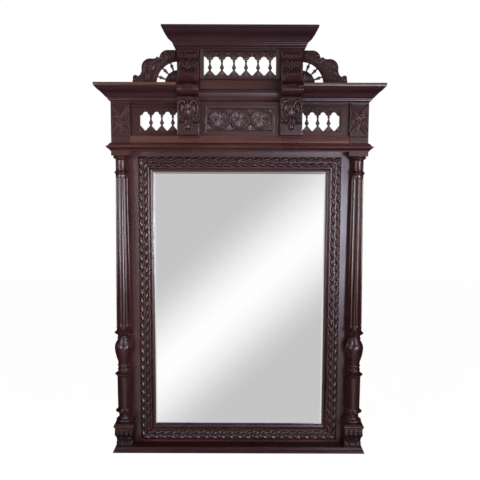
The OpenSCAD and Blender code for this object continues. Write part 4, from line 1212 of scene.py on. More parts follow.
def spindle_row(name, places, d, z, long):
    """Spindles of that length at each place across."""
    made = [turned(name + "_part", spindle_profile(long), (x, BOARD_Y - d, z), 24) for x in places]
    return joined(name, made)


def opening(x0, pitch, bays, low, high, d0, d1):
    """Cutter for a row of scalloped openings, between heights low and high."""
    steps = np.arange(0, bays + 0.001, 1 / 30)
    under = [(x0 + u * pitch, low - MOUND_FALL * float(mound_edge(u))) for u in steps]
    over = [(x0 + u * pitch, high + ARCH_RISE * float(arch_edge(u))) for u in steps[::-1]]
    under[0] = (x0 - 1, under[0][1])
    over[-1] = (x0 - 1, over[-1][1])
    return prism("opening", under + over, d0, d1)


def gallery_carving(x, z, x0, pitch, low, high):
    """Leaves that hang over each spindle and mounds of leaf under it."""
    u = (x - x0) / pitch
    near = ((u % 1) - 0.5) * pitch
    hang = palmette(near, z, (0, high + 24), 180, 26, 46, 5, 0.3, 3)
    between = (((u + 0.5) % 1) - 0.5) * pitch
    drop = leaf(between, z, (0, high + 30), 180, 15, 10, 0, 0.35)
    mound = palmette(near, z, (0, low - 24), 0, 24, 54, 5, 0.2, 2)
    over_edge = high + ARCH_RISE * arch_edge(u)
    rim = 0.6 * ring(z, over_edge + 2.4, 2.4)
    foot = low - MOUND_FALL * mound_edge(u)
    foot_rim = 0.55 * ring(z, foot - 2.4, 2.4)
    return np.maximum.reduce([hang, drop, mound, rim, foot_rim])


def make_galleries():
    """Gallery boards of the frieze: three and a half openings, with spindles between them."""
    low, high = corners("right_gallery_board")
    pitch, bays = 45.43, 3.5
    z0, z1 = PANEL_Z + 43, PANEL_Z + 87
    end_x = CORBEL_OUT + bays * pitch

    def height(x, z):
        carved = gallery_carving(x, z, CORBEL_OUT, pitch, z0, z1) * (x < end_x - 1)
        post = 0.9 * ring(x, end_x + 2.2, 2.6) * (z > z0 - 24) * (z < z1 + 24)
        strip = ease(CORNICE_Z - 18.6, CORNICE_Z - 17.4, z) * ease(CORNICE_Z - 8.6, CORNICE_Z - 9.8, z)
        return 4.2 * np.maximum(carved, post) * (z > PANEL_Z + 3) + 6.2 * strip

    board = carved_face("gallery_board", low[0] + 0.1, high[0] - 0.1, low[2], high[2], 56.4, 38, height,
                        carving_size("fine_step"))
    cut(board, opening(CORBEL_OUT, pitch, bays, z0, z1, 30, 70))
    place_pair(board, "dull_carved_x", "carved_walnut", "gallery_board")
    places = [CORBEL_OUT + (i + 0.5) * pitch for i in range(int(bays))]
    row = spindle_row("gallery_spindles", places, 48, z0, z1 - z0)
    place_pair(row, "walnut_z", "turned_walnut", "gallery_spindles")


def make_upper_gallery():
    """Gallery under the crown, with its head, sill and spindles, and the plain panel below it."""
    bays = 6
    half = CORBEL_IN - 16
    pitch = 2 * half / bays
    front_d, back_d, spindle_d = 48.6, 30, 40
    z0, z1 = ATTIC_TOP + 36, ATTIC_TOP + 80
    step = carving_size("fine_step")

    def height(x, z):
        carved = gallery_carving(x, z, -half, pitch, z0, z1)
        strip = ease(CROWN_Z - 9.8, CROWN_Z - 8.6, z)
        return 4.0 * carved * (z < CROWN_Z - 10) + 6.0 * strip

    def edge(z, rise, curve, top):
        """Cutter that follows the scalloped edge at height z and ends at height top."""
        steps = np.arange(0, bays + 0.001, 1 / 30)
        line = [(-half + u * pitch, z + rise * float(curve(u))) for u in steps]
        line[0], line[-1] = (-half - 1, line[0][1]), (half + 1, line[-1][1])
        return prism("edge", line + [(half + 1, top), (-half - 1, top)], 20, 60)

    head = carved_face("gallery_head", -half, half, z1 - 1, CROWN_Z - 0.1, front_d, back_d, height, step)
    cut(head, edge(z1, ARCH_RISE, arch_edge, z1 - 20))
    place_piece(head, "carved_walnut_x", "carved_walnut", "upper_gallery_head")
    sill = carved_face("gallery_sill", -half, half, ATTIC_TOP, z0 + 1, front_d, back_d, height, step)
    cut(sill, edge(z0, -MOUND_FALL, mound_edge, z0 + 20))
    place_piece(sill, "carved_walnut_x", "carved_walnut", "upper_gallery_sill")
    places = [-half + (i + 0.5) * pitch for i in range(bays)]
    row = spindle_row("upper_spindles", places, spindle_d, z0, z1 - z0)
    place_piece(row, "walnut_z", "turned_walnut", "upper_gallery_spindles")
    z = CORNICE_Z
    section = [(38, ATTIC_Z + 0.1), (64, ATTIC_Z + 0.1), (64, z + 5), (62.6, z + 7), (60.4, z + 9.6),
               (58, z + 12), (58, z + 42.6), (60.6, z + 44.6), (61.4, z + 45.6), (62, z + 47.6),
               (64.2, z + 48.8), (65, z + 49.8), (65, z + 51.2), (64.2, z + 52.2), (61, z + 53.8),
               (60.4, z + 55.4), (59, z + 57), (59, ATTIC_TOP - 7), (56, ATTIC_TOP - 4),
               (54, ATTIC_TOP - 0.2), (38, ATTIC_TOP - 0.2)]
    panel = straight("plain_panel", softened(section, 0.3), -CORBEL_IN + 0.1, CORBEL_IN - 0.1)
    place_piece(panel, "walnut_x", "walnut", "attic_panel")


# Side fans

FAN_X, FAN_Z = CORBEL_OUT, DECK_Z + 7
HUB_R, WINDOW_R = 56, 93


def fan_outline():
    """Lobed outline of the right-hand fan board, as (x, z)."""
    x0, z0 = CORBEL_OUT, DECK_Z
    reach = corners("right_fan_board")[1][0] - CORBEL_OUT

    def lobe(cx, cz, r, start, end, count):
        return arc(x0 + cx, z0 + cz, r, start, end, count)

    points = [(x0, z0), (x0 + reach, z0), (x0 + reach, z0 + 18)]
    points += lobe(reach - 12, 32, 11, -20, 140, 12)
    points += [(x0 + reach - 26, z0 + 38), (x0 + reach - 33, z0 + 46), (x0 + reach - 38, z0 + 58)]
    points += lobe(reach - 74, 74, 36, -8, 104, 16)
    points += lobe(reach - 103, 111, 6, 0, 160, 8)
    points += lobe(reach - 146, 110, 34, 8, 82, 12)
    return points + [(x0 + 18, CROWN_Z - 1), (x0, CROWN_Z - 1)]


def fan_carving(x, z):
    """Arch ring with a beaded edge, ribbed hub, bosses, and leaves that follow the outline.

    x and z are measured from the middle of the fan.
    """
    distance = np.hypot(x, z)
    field = distance > 111
    shape = [0.16 * field, 0.9 * ring(distance, WINDOW_R + 4, 3.6), ring(distance, WINDOW_R + 12.5, 4.8),
             0.75 * ring(distance, HUB_R - 2.6, 2.4)]
    shape.append(palmette(x, z, (0, 0), 45, 50, 50, 7, 0.02, 0) * (distance < 50.5))
    for boss_x, boss_z, r in ((150, 62, 13), (72, 104, 9), (196, 24, 7)):
        shape.append(bead(x, z, boss_x, boss_z, r))
        shape.append(0.55 * ring(np.hypot(x - boss_x, z - boss_z), r + 7, 4.4) * field)
    for turn, length, width, bend, root in (
            (-14, 66, 22, 0.18, (176, 4)), (8, 62, 20, -0.2, (158, -2)), (-22, 54, 20, 0.2, (136, 12)),
            (-40, 50, 20, 0.16, (122, 52)), (-64, 54, 20, -0.16, (124, 72)),
            (-34, 40, 18, 0.2, (60, 98)), (8, 44, 22, -0.16, (40, 104)), (4, 46, 20, 0.1, (16, 104)),
            (-4, 26, 15, 0.1, (196, -4))):
        shape.append(0.8 * leaf(x, z, root, turn, length, width, bend, 0.45, 2) * field)
    return np.maximum.reduce(shape)


def make_fans():
    """Fan boards, each with a quarter-round window and three spindles that stand in it like spokes."""
    spindle_d = 26
    far_x = corners("right_fan_board")[1][0]

    def height(x, z):
        return 5 * fan_carving(x - FAN_X, z - FAN_Z) * ease(DECK_Z + 5.4, DECK_Z + 6.6, z)

    board = carved_face("fan_board", CORBEL_OUT - 0.5, far_x + 1, DECK_Z - 0.5, CROWN_Z, 34.4, 16,
                        height, 1.1 * carving_size("fine_step"))
    cut(board, prism("fan_outline", fan_outline(), 10, 50), "INTERSECT")
    window = arc(FAN_X, FAN_Z, WINDOW_R, -0.1, 90.6, 40) + arc(FAN_X, FAN_Z, HUB_R, 91, -0.1, 30)
    cut(board, prism("fan_window", window, 10, 50))
    place_pair(board, "dull_carved_x", "carved_walnut", "fan_board")
    profile = [(0, -1), (4.4, -1), (4.4, 1.6), (3.4, 3), (2.9, 6), (3.4, 8.4), (5.2, 9.6), (5.6, 11),
               (5.2, 12.4), (3.4, 13.6)]
    profile += arc(0, 21.6, 7, -60, 60, 8) + [(3.2, 30), (3.4, 33), (4.4, 35), (4.4, 38), (0, 38)]
    made = []
    for turn in (20, 44.5, 69):
        spindle = turned("fan_spindle", profile, (0, 0, 0), 24)
        side, ahead, along = points_of(spindle).T
        a = math.radians(turn)
        x = FAN_X + (HUB_R + along) * math.cos(a) - side * math.sin(a)
        z = FAN_Z + (HUB_R + along) * math.sin(a) + side * math.cos(a)
        move_points(spindle, np.stack((x, BOARD_Y - spindle_d + ahead, z), 1))
        made.append(seal(spindle))
    place_pair(joined("fan_spindles", made), "walnut_z", "turned_walnut", "fan_spindles")


# Corbels

CORBEL_BACK_D = 38


def corbel(name, line, rise, height, step):
    """A corbel whose front follows a line of (d, z) from the top down, carved by height(x, along)."""
    line = evenly(line, step)
    foot, top = (CORBEL_BACK_D, line[-1][1]), (CORBEL_BACK_D, line[0][1])
    back = evenly([line[-1], foot, top, line[0]], 30)[1:]
    path = np.array(line + back)
    count = len(line)
    towards = np.gradient(path[:count], axis=0)
    towards /= np.hypot(towards[:, 0], towards[:, 1])[:, None]
    normal = np.zeros_like(path)
    normal[:count] = np.stack((-towards[:, 1], towards[:, 0]), 1)
    steps = np.hypot(*np.diff(path[:count], axis=0).T)
    run_length = np.zeros(len(path))
    run_length[1:count] = np.cumsum(steps)
    run_length[count:] = run_length[count - 1]
    across = round((CORBEL_OUT - CORBEL_IN) / step)

    def points(u, v):
        row = np.rint(u * (len(path) - 1)).astype(int)
        x = CORBEL_IN + (CORBEL_OUT - CORBEL_IN) * v
        on_front = (row > 0) & (row < count - 1)
        side = x - (CORBEL_IN + CORBEL_OUT) / 2
        out = np.where(on_front, rise * height(side, run_length[row]), 0)
        return (x, BOARD_Y - path[row, 0] - out * normal[row, 0], path[row, 1] + out * normal[row, 1])

    return skin(name, len(path) - 1, across, points, 55)


def side_relief(name, x, out, line, z0, z1, rise, height, step):
    """Carving on a corbel's side: it keeps inside the line of (d, z). height(d, z) is 0 to 1."""
    line = np.array(sorted(line, key=lambda p: p[1]))

    def front(u, v):
        z = z0 + (z1 - z0) * v
        d = 41 + (np.interp(z, line[:, 1], line[:, 0]) - 44) * u
        raised = ease(0, 0.05, u) * ease(1, 0.95, u) * ease(0, 0.04, v) * ease(1, 0.96, v)
        return x + out * rise * raised * height(d, z), BOARD_Y - d, z

    def back(points):
        points[:, 0] = x - out
        return points

    return carved_slab(name, 34, round((z1 - z0) / step), front, back)


def make_scroll_corbels():
    """Scroll corbels: two tiers of leaves above a roll, leaves on the sides and a volute at the roll."""
    z0 = corners("right_scroll_corbel")[0][2]
    roll_d, roll_z, roll_r = 113, z0 + 31, 25
    high = CROWN_Z - 12 - roll_z - roll_r
    line = [(71.8, CROWN_Z - 0.2), (71.8, CROWN_Z - 7), (73, CROWN_Z - 9)]
    for i in range(17):
        t = 1 - i / 16
        line.append((112 - 40 * t ** 0.6, roll_z + roll_r + 1 + high * t))
    line += [(114, roll_z + roll_r + 0.6)] + arc(roll_d, roll_z, roll_r, 80, -130, 26)
    line += [(roll_d - 17, z0 + 8), (104, z0 + 2), (103.5, z0 + 0.2)]
    even = evenly(line, 1)
    lengths = np.concatenate(([0], np.cumsum(np.hypot(*np.diff(np.array(even), axis=0).T))))
    roll_start = float(lengths[min(i for i, p in enumerate(even) if p[0] > 111.9)])
    roll_top = roll_start + 6

    def height(side, s):
        out = np.abs(side)
        first = 0.5 + 0.5 * ease(34, 58, s)
        second = 0.6 + 0.6 * ease(66, 104, s)
        leaves = [0.2 * ease(43, 34, out) * ease(16, 30, s) * ease(112, 100, s)]
        for place, lean in ((3, 8), (11, 16), (20, 22), (29, 26)):
            leaves.append(first * leaf(out, -s, (place, -20), 180 - lean, 48, 12, 0.08, 0.6))
        for place, top, lean, reach, bend in (
                (3, -46, 3, 62, 0), (9, -50, 16, 60, 0.05), (15, -50, 29, 52, 0.08),
                (19, -48, 44, 42, 0.1)):
            leaves.append(second * leaf(out, -s, (place, top), 180 - lean, reach, 17, bend, 0.55))
        edge = 0.22 * ring(out, 42, 2.6) * (s > 8) * (s < roll_start - 4)
        hollow = 0.12 * ease(44, 20, out) * ease(106, 114, s) * ease(roll_start, roll_start - 8, s)
        rim = 0.2 * ring(out, 40.5, 4.2)
        grooves = 0.07 * np.maximum(ring(out, 31, 1.6), ring(out, 27, 1.2))
        small = 0.2 * palmette(side, -s, (0, 5 - roll_top), 180, 30, 48, 5, 0.5, 3)
        lip = 0.16 * ring(s, roll_top - 2, 3)
        field = np.where(s > roll_start - 2, np.maximum.reduce([rim, grooves, small, lip]),
                         np.maximum.reduce(leaves + [edge]) - hollow)
        return field * ease(45, 43.6, out)

    body = corbel("scroll_corbel", line, 11, height, carving_size("fine_step"))

    def leafy(d, z):
        return np.maximum(acanthus(d, z, (46, z0 + 84), 24, 112, 60, 5), 0.3 * ring(d, 47, 3))

    volute_r = roll_r - 1

    def scroll_front(u, v):
        """A square grid rounded to a disc."""
        a, b = 2 * u - 1, 2 * v - 1
        d, z = a * np.sqrt(1 - b * b / 2) * volute_r, b * np.sqrt(1 - a * a / 2) * volute_r
        raised = 2.4 * volute(d, z, volute_r, 1.9) * ease(volute_r, volute_r - 1, np.hypot(d, z))
        return CORBEL_IN - raised, BOARD_Y - roll_d - d, roll_z + z

    def scroll_back(points):
        points[:, 0] = CORBEL_IN + 1
        return points

    upright = line[3:20]
    parts = [body]
    for x, out in ((CORBEL_IN, -1), (CORBEL_OUT, 1)):
        parts.append(side_relief("corbel_side", x, out, upright, z0 + 62, CROWN_Z - 6, 2.2, leafy, 2))
    parts.append(carved_slab("corbel_volute", 44, 44, scroll_front, scroll_back))
    place_pair(joined("scroll_corbel", parts), "deep_walnut_z", "carved_walnut", "scroll_corbel")


def make_lower_corbels():
    """Lower corbels: a hood over inner leaves, a tier of leaves below, and a bud on the foot's block."""
    z0, z1 = corners("right_lower_corbel")[0][2], corners("right_lower_corbel")[1][2]
    high = z1 - z0
    line = [(103.6, z1 - 0.2), (104, z1 - 1), (104, z1 - 12), (103, z1 - 13), (99.6, z1 - 13.6)]
    for i in range(15):
        t = i / 14
        line.append((105 - 14 * t + 4 * math.sin(math.pi * t), z1 - 16 - 74 * t))
    line += [(91.6, z0 + 0.36 * high), (94, z0 + 0.335 * high), (98.6, z0 + 0.318 * high),
             (100, z0 + 0.3 * high), (100, z0 + 6), (99, z0 + 3.4), (95, z0 + 0.2)]

    def height(side, s):
        out = np.abs(side)
        second = 0.6 + 0.45 * ease(84, 106, s)
        reach = np.hypot((out - 23) / 18, (s - 58) / 37)
        hood = ring(reach, 0.98, 0.2) * np.maximum(ease(58, 46, s), ease(22, 30, out)) * (s > 16)
        leaves = [hood, 0.7 * leaf(side, -s, (0, -18), 180, 50, 11, 0, 0.4)]
        for place, top, lean, long in ((10, -34, 12, 56), (17, -28, 14, 62), (24, -28, 12, 54)):
            leaves.append(0.95 * leaf(out, -s, (place, top), 180 - lean, long, 10.5, 0.05, 0.35))
        for place, lean, long in ((3, 10, 52), (8, 24, 54), (14, 38, 48), (20, 54, 32)):
            leaves.append(second * leaf(out, -s, (place, -56), 180 - lean, long, 15, 0.06, 0.5))
        husk = [0.8 * leaf(side, -s, (0, -98), 180 + lean, 30, 15, bend, 0.4, 3)
                for lean, bend in ((22, 0.2), (-22, -0.2), (0, 0))]
        bud = 1.2 * bead(side, -s, 0, -131, 13)
        block = 0.1 * ease(44, 42, out) * (s > 106)
        tiers = np.maximum.reduce(leaves) * ease(14, 18, s) * (s < 110)
        return np.maximum.reduce([tiers, bud, block] + husk) * ease(45, 43.4, out)

    body = corbel("lower_corbel", line, 9.5, height, carving_size("fine_step"))
    place_pair(body, "carved_walnut_z", "carved_walnut", "lower_corbel")


# Studio

# Each lamp's name, place, target, size, watts in red, green and blue, and spread in degrees
LAMPS = (
    ("window", (1.65, -5.7, 0.48), (0.1, 0, 0.9), (0.7, 1.2), (88, 92, 116), 180),
    ("left_middle", (-1.7, -2.4, 0.95), (-0.38, 0, 0.9), (0.5, 1.0), (3.6, 3.0, 2.9), 50),
    ("cross", (1.9, -2.4, 1.0), (-0.4, 0, 0.95), (0.6, 1.2), (3.0, 2.6, 3.0), 50),
    ("right_middle", (1.9, -2.4, 0.95), (0.35, 0, 0.95), (0.5, 1.0), (3.2, 2.6, 2.2), 50),
    ("left_side", (-2.6, -0.9, 1.3), (-0.4, 0, 1.2), (0.5, 1.2), (0.8, 1, 1.1), 60),
    ("right_side", (2.6, -0.9, 1.3), (0.4, 0, 1.2), (0.5, 1.2), (0.3, 0.4, 0.4), 60),
    ("high", (-0.5, -2.2, 2.6), (0, 0, 1.4), (1.2, 0.5), (0.9, 0.7, 0.6), 90),
)


def hang_lamps():
    """Each lamp at its place, turned to its target."""
    for name, place, target, size, watts, spread in LAMPS:
        bpy.ops.object.light_add(type="AREA", location=place)
        lamp = name_piece(name + "_light")
        lamp.data.shape = "RECTANGLE"
        lamp.data.size, lamp.data.size_y = size
        lamp.data.spread = math.radians(spread)
        lamp.data.energy = max(watts) * bpy.context.scene.mirror_studio.brightness
        lamp.data.color = [w / max(watts) for w in watts]
        x, y, z = [t - p for t, p in zip(target, place)]
        lamp.rotation_euler = (math.pi / 2 + math.atan2(z, math.hypot(x, y)), 0, math.atan2(-x, y))


def stage_floor():
    """A pale floor: the camera sees it nearly white, and polish and glass see the room through it."""
    material, tree = fresh_material("pale_floor")
    path = node(tree, "ShaderNodeLightPath")
    plain = node(tree, "ShaderNodeBsdfDiffuse", {"Color": (0.86, 0.86, 0.86, 1)})
    glow = node(tree, "ShaderNodeEmission", {"Color": (1, 1, 1, 1), "Strength": 0.96})
    dim = node(tree, "ShaderNodeBsdfDiffuse", {"Color": (0.2, 0.2, 0.2, 1)})
    seen = node(tree, "ShaderNodeAddShader", {0: glow.outputs[0], 1: dim.outputs[0]})
    clear = node(tree, "ShaderNodeBsdfTransparent")
    shown = node(tree, "ShaderNodeMixShader", {
        0: path.outputs["Is Camera Ray"], 1: plain.outputs[0], 2: seen.outputs[0]})
    last = node(tree, "ShaderNodeMixShader", {
        0: path.outputs["Is Glossy Ray"], 1: shown.outputs[0], 2: clear.outputs[0]})
    node(tree, "ShaderNodeOutputMaterial", {"Surface": last.outputs[0]})
    bpy.ops.mesh.primitive_plane_add(size=9, location=(0, 0, 0))
    floor = name_piece("stage_floor")
    floor.data.materials.append(material)


def seen_at(tree, way, azimuth, elevation, wide, soft):
    """1 towards a place in the room, in degrees to the right of the front and up, and 0 away from it."""
    a, e = math.radians(azimuth), math.radians(elevation)
    towards = (math.sin(a) * math.cos(e), -math.cos(a) * math.cos(e), math.sin(e))
    dot = node(tree, "ShaderNodeVectorMath", {0: way, 1: towards}, operation="DOT_PRODUCT")
    near = dot.outputs["Value"]
    return remap(tree, near, math.cos(math.radians(wide + soft)), math.cos(math.radians(wide)))


# Azimuth, elevation, half width, soft edge and colour of each bright place that the polish shows
WINDOWS = (
    (52, 6, 5, 4, (2.0, 2.2, 2.9)),
    (-56, 6, 5, 4, (1.8, 2.0, 2.6)),
    (38, 44, 9, 5, (6.4, 7.0, 8.8)),
    (-40, 42, 9, 5, (6.0, 6.6, 8.4)),
    (0, -52, 22, 18, (0.32, 0.38, 0.54)),
)


# The room that polish and glass see: grey wall, bright slanted patch on it, and what is round them
WALL_GREY = (0.562, 0.562, 0.562)
WALL_FAR = (0.74, 0.74, 0.74)
WALL_HIGH = (0.07, 0.07, 0.09)
WALL_TOP = (0.6, 0.6, 0.6)
WALL_SIDES = (1.3, 1.15, 1.4)
ROOM_DARK = (0.030, 0.030, 0.042)
PATCH_SLOPE = (-0.6746, 0.738)
PATCH_OFF = 0.1501
PATCH_HALF = 0.121
AIR_TINT = (1.04, 0.92, 1.0)


def seen_room(tree, way):
    """Colour of the room in each direction. p and q are a place on the wall, across and up."""
    x, y, z = node(tree, "ShaderNodeSeparateXYZ", {0: way}).outputs
    ahead = maths(tree, "MAXIMUM", maths(tree, "MULTIPLY", y, -1.0), 0.05)
    p = maths(tree, "DIVIDE", x, ahead)
    q = maths(tree, "DIVIDE", z, ahead)
    slope = maths(tree, "ADD", maths(tree, "MULTIPLY", p, PATCH_SLOPE[0]),
                  maths(tree, "MULTIPLY", q, PATCH_SLOPE[1]))
    off = maths(tree, "ABSOLUTE", maths(tree, "ADD", slope, PATCH_OFF), 0.0)
    wall = mixed(tree, remap(tree, off, PATCH_HALF, 0.0), WALL_GREY, (1, 1, 1))
    out = maths(tree, "ABSOLUTE", p, 0.0)
    beside = maths(tree, "MAXIMUM", out, maths(tree, "ABSOLUTE", maths(tree, "ADD", q, 0.2), 0.0))
    wall = mixed(tree, remap(tree, beside, 0.2, 0.24), wall, WALL_FAR)
    wall = mixed(tree, remap(tree, q, 0.035, 0.05), wall, WALL_HIGH)
    top = maths(tree, "MINIMUM", remap(tree, out, 0.17, 0.16), remap(tree, q, 0.19, 0.2))
    wall = mixed(tree, top, wall, WALL_TOP)
    sides = maths(tree, "MINIMUM", remap(tree, out, 0.148, 0.156), remap(tree, out, 0.26, 0.24))
    height = maths(tree, "MINIMUM", remap(tree, q, 0.02, -0.02), remap(tree, q, -0.34, -0.2))
    wall = mixed(tree, maths(tree, "MINIMUM", sides, height), wall, WALL_SIDES)
    room = ROOM_DARK
    for azimuth, elevation, wide, soft, colour in WINDOWS:
        room = mixed(tree, seen_at(tree, way, azimuth, elevation, wide, soft), room, colour)
    return mixed(tree, remap(tree, beside, 0.46, 0.36), room, wall)


def stage_world():
    """White behind the piece for the camera, soft light from all round, and the room in reflections."""
    studio = bpy.context.scene.mirror_studio
    world = bpy.data.worlds.new("studio_world")
    bpy.context.scene.world = world
    world.use_nodes = True
    tree = world.node_tree
    tree.nodes.clear()
    way = node(tree, "ShaderNodeTexCoord").outputs["Generated"]
    _, y, z = node(tree, "ShaderNodeSeparateXYZ", {0: way}).outputs
    room = seen_room(tree, way)
    path = node(tree, "ShaderNodeLightPath")
    air = [studio.air * c for c in AIR_TINT]
    front = remap(tree, y, 0.3, -0.9)
    light = mixed(tree, front, [0.35 * c for c in air], [1.5 * c for c in air])
    light = mixed(tree, remap(tree, z, 0.25, 0.9), light, [0.3 * c for c in air])
    light = mixed(tree, path.outputs["Is Glossy Ray"], light, room)
    light = mixed(tree, path.outputs["Is Camera Ray"], light, (1, 1, 1))
    sky = node(tree, "ShaderNodeBackground", {"Color": light, "Strength": 1.0})
    node(tree, "ShaderNodeOutputWorld", {"Surface": sky.outputs[0]})


def make_studio():
    """World, floor, lamps and the camera at the photograph's angle."""
    studio = bpy.context.scene.mirror_studio
    scene = bpy.context.scene
    scene.view_settings.view_transform = "Standard"
    stage_world()
    stage_floor()
    hang_lamps()
    bpy.ops.object.camera_add(
        location=(studio.eye_side, -studio.eye_distance + BOARD_Y * MM, studio.eye_height),
        rotation=(math.pi / 2 - studio.eye_pitch, -studio.eye_roll, 0))
    camera = name_piece("front_camera")
    camera.data.lens = studio.lens
    camera.data.sensor_width = 36
    scene.camera = camera


# Operators and sidebar

class MIRROR_OT_frame(bpy.types.Operator):
    """Carved and coved frame round the glass, in four mitred lengths"""
    bl_idname = "mirror.frame"
    bl_label = "Build Frame Mouldings"
    bl_options = {"REGISTER", "UNDO"}

    def execute(self, context):
        make_frame()
        return {"FINISHED"}


class MIRROR_OT_balusters(bpy.types.Operator):
    """Turned lower parts of the columns"""
    bl_idname = "mirror.balusters"
    bl_label = "Build Balusters"
    bl_options = {"REGISTER", "UNDO"}

    def execute(self, context):
        make_balusters()
        return {"FINISHED"}


class MIRROR_OT_shafts(bpy.types.Operator):
    """Fluted shafts of the columns"""
    bl_idname = "mirror.shafts"
    bl_label = "Build Fluted Shafts"
    bl_options = {"REGISTER", "UNDO"}

    def execute(self, context):
        make_shafts()
        return {"FINISHED"}


class MIRROR_OT_capitals(bpy.types.Operator):
    """Turned and square capitals of the columns"""
    bl_idname = "mirror.capitals"
    bl_label = "Build Capitals"
    bl_options = {"REGISTER", "UNDO"}

    def execute(self, context):
        make_capitals()
        return {"FINISHED"}


class MIRROR_OT_brackets(bpy.types.Operator):
    """Carved brackets under the columns"""
    bl_idname = "mirror.brackets"
    bl_label = "Build Brackets"
    bl_options = {"REGISTER", "UNDO"}

    def execute(self, context):
        make_brackets()
        return {"FINISHED"}


class MIRROR_OT_strings(bpy.types.Operator):
    """Pointed moulding under the frieze, with its returns"""
    bl_idname = "mirror.strings"
    bl_label = "Build String Moulding"
    bl_options = {"REGISTER", "UNDO"}

    def execute(self, context):
        make_string()
        return {"FINISHED"}


class MIRROR_OT_cornices(bpy.types.Operator):
    """Main cornice on both sides, with its returns"""
    bl_idname = "mirror.cornices"
    bl_label = "Build Cornices"
    bl_options = {"REGISTER", "UNDO"}

    def execute(self, context):
        make_cornice()
        return {"FINISHED"}


class MIRROR_OT_crown(bpy.types.Operator):
    """Crown moulding with its returns"""
    bl_idname = "mirror.crown"
    bl_label = "Build Crown"
    bl_options = {"REGISTER", "UNDO"}

    def execute(self, context):
        make_crown()
        return {"FINISHED"}


class MIRROR_OT_ledge(bpy.types.Operator):
    """Moulded ledge at the foot"""
    bl_idname = "mirror.ledge"
    bl_label = "Build Ledge"
    bl_options = {"REGISTER", "UNDO"}

    def execute(self, context):
        make_ledge()
        return {"FINISHED"}


class MIRROR_OT_end_blocks(bpy.types.Operator):
    """Blocks over the columns, each with a carved cross of leaves"""
    bl_idname = "mirror.end_blocks"
    bl_label = "Build End Blocks"
    bl_options = {"REGISTER", "UNDO"}

    def execute(self, context):
        make_end_blocks()
        return {"FINISHED"}


class MIRROR_OT_rail(bpy.types.Operator):
    """Plain rail at the foot of the frieze"""
    bl_idname = "mirror.rail"
    bl_label = "Build Frieze Rail"
    bl_options = {"REGISTER", "UNDO"}

    def execute(self, context):
        make_rail()
        return {"FINISHED"}


class MIRROR_OT_roundels(bpy.types.Operator):
    """Panel with three carved flowers in rings"""
    bl_idname = "mirror.roundels"
    bl_label = "Build Roundel Panel"
    bl_options = {"REGISTER", "UNDO"}

    def execute(self, context):
        make_roundels()
        return {"FINISHED"}


class MIRROR_OT_lower_corbels(bpy.types.Operator):
    """Leaf-carved corbels of the frieze"""
    bl_idname = "mirror.lower_corbels"
    bl_label = "Build Lower Corbels"
    bl_options = {"REGISTER", "UNDO"}

    def execute(self, context):
        make_lower_corbels()
        return {"FINISHED"}


class MIRROR_OT_scroll_corbels(bpy.types.Operator):
    """Tall corbels with two tiers of leaves and a roll"""
    bl_idname = "mirror.scroll_corbels"
    bl_label = "Build Scroll Corbels"
    bl_options = {"REGISTER", "UNDO"}

    def execute(self, context):
        make_scroll_corbels()
        return {"FINISHED"}


class MIRROR_OT_galleries(bpy.types.Operator):
    """Pierced boards of the frieze with their spindles"""
    bl_idname = "mirror.galleries"
    bl_label = "Build Side Galleries"
    bl_options = {"REGISTER", "UNDO"}

    def execute(self, context):
        make_galleries()
        return {"FINISHED"}


class MIRROR_OT_upper_gallery(bpy.types.Operator):
    """Pierced gallery under the crown, with its plain panel"""
    bl_idname = "mirror.upper_gallery"
    bl_label = "Build Upper Gallery"
    bl_options = {"REGISTER", "UNDO"}

    def execute(self, context):
        make_upper_gallery()
        return {"FINISHED"}


class MIRROR_OT_fans(bpy.types.Operator):
    """Pierced quarter fans at the sides, with their spindles"""
    bl_idname = "mirror.fans"
    bl_label = "Build Fans"
    bl_options = {"REGISTER", "UNDO"}

    def execute(self, context):
        make_fans()
        return {"FINISHED"}


class MIRROR_OT_boards(bpy.types.Operator):
    """Finish of the boards, glass, back and fittings"""
    bl_idname = "mirror.boards"
    bl_label = "Finish Boards"
    bl_options = {"REGISTER", "UNDO"}

    def execute(self, context):
        make_boards()
        return {"FINISHED"}


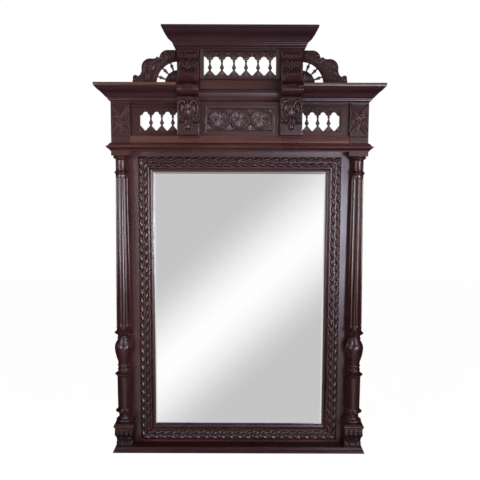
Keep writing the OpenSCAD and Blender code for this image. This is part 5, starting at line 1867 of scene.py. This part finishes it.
class MIRROR_OT_studio(bpy.types.Operator):
    """Camera, lamps, white backdrop and floor"""
    bl_idname = "mirror.studio"
    bl_label = "Build Studio"
    bl_options = {"REGISTER", "UNDO"}

    def execute(self, context):
        make_studio()
        return {"FINISHED"}


STEPS = (
    MIRROR_OT_frame,
    MIRROR_OT_balusters,
    MIRROR_OT_shafts,
    MIRROR_OT_capitals,
    MIRROR_OT_brackets,
    MIRROR_OT_strings,
    MIRROR_OT_cornices,
    MIRROR_OT_crown,
    MIRROR_OT_ledge,
    MIRROR_OT_end_blocks,
    MIRROR_OT_rail,
    MIRROR_OT_roundels,
    MIRROR_OT_lower_corbels,
    MIRROR_OT_scroll_corbels,
    MIRROR_OT_galleries,
    MIRROR_OT_upper_gallery,
    MIRROR_OT_fans,
    MIRROR_OT_boards,
    MIRROR_OT_studio,
)


class MIRROR_PT_sidebar(bpy.types.Panel):
    """Steps, sizes and finishes of the carved mirror"""
    bl_label = "Carved Walnut Mirror"
    bl_idname = "MIRROR_PT_sidebar"
    bl_space_type = "VIEW_3D"
    bl_region_type = "UI"
    bl_category = "Mirror"

    def draw(self, context):
        for step in STEPS:
            self.layout.operator(step.bl_idname)
        for group in (context.scene.mirror_carving, context.scene.mirror_finish,
                      context.scene.mirror_studio):
            box = self.layout.box()
            for key in group.__annotations__:
                box.prop(group, key)


GROUPS = {
    "mirror_carving": MirrorCarving,
    "mirror_finish": MirrorFinish,
    "mirror_studio": MirrorStudio,
}


def register():
    for name, group in GROUPS.items():
        bpy.utils.register_class(group)
        setattr(bpy.types.Scene, name, bpy.props.PointerProperty(type=group))
    for step in STEPS:
        bpy.utils.register_class(step)
    bpy.utils.register_class(MIRROR_PT_sidebar)


def unregister():
    bpy.utils.unregister_class(MIRROR_PT_sidebar)
    for step in reversed(STEPS):
        bpy.utils.unregister_class(step)
    for name, group in GROUPS.items():
        delattr(bpy.types.Scene, name)
        bpy.utils.unregister_class(group)


def main():
    register()
    for step in STEPS:
        getattr(bpy.ops.mirror, step.bl_idname.split(".")[1])()


if __name__ == "__main__":
    main()
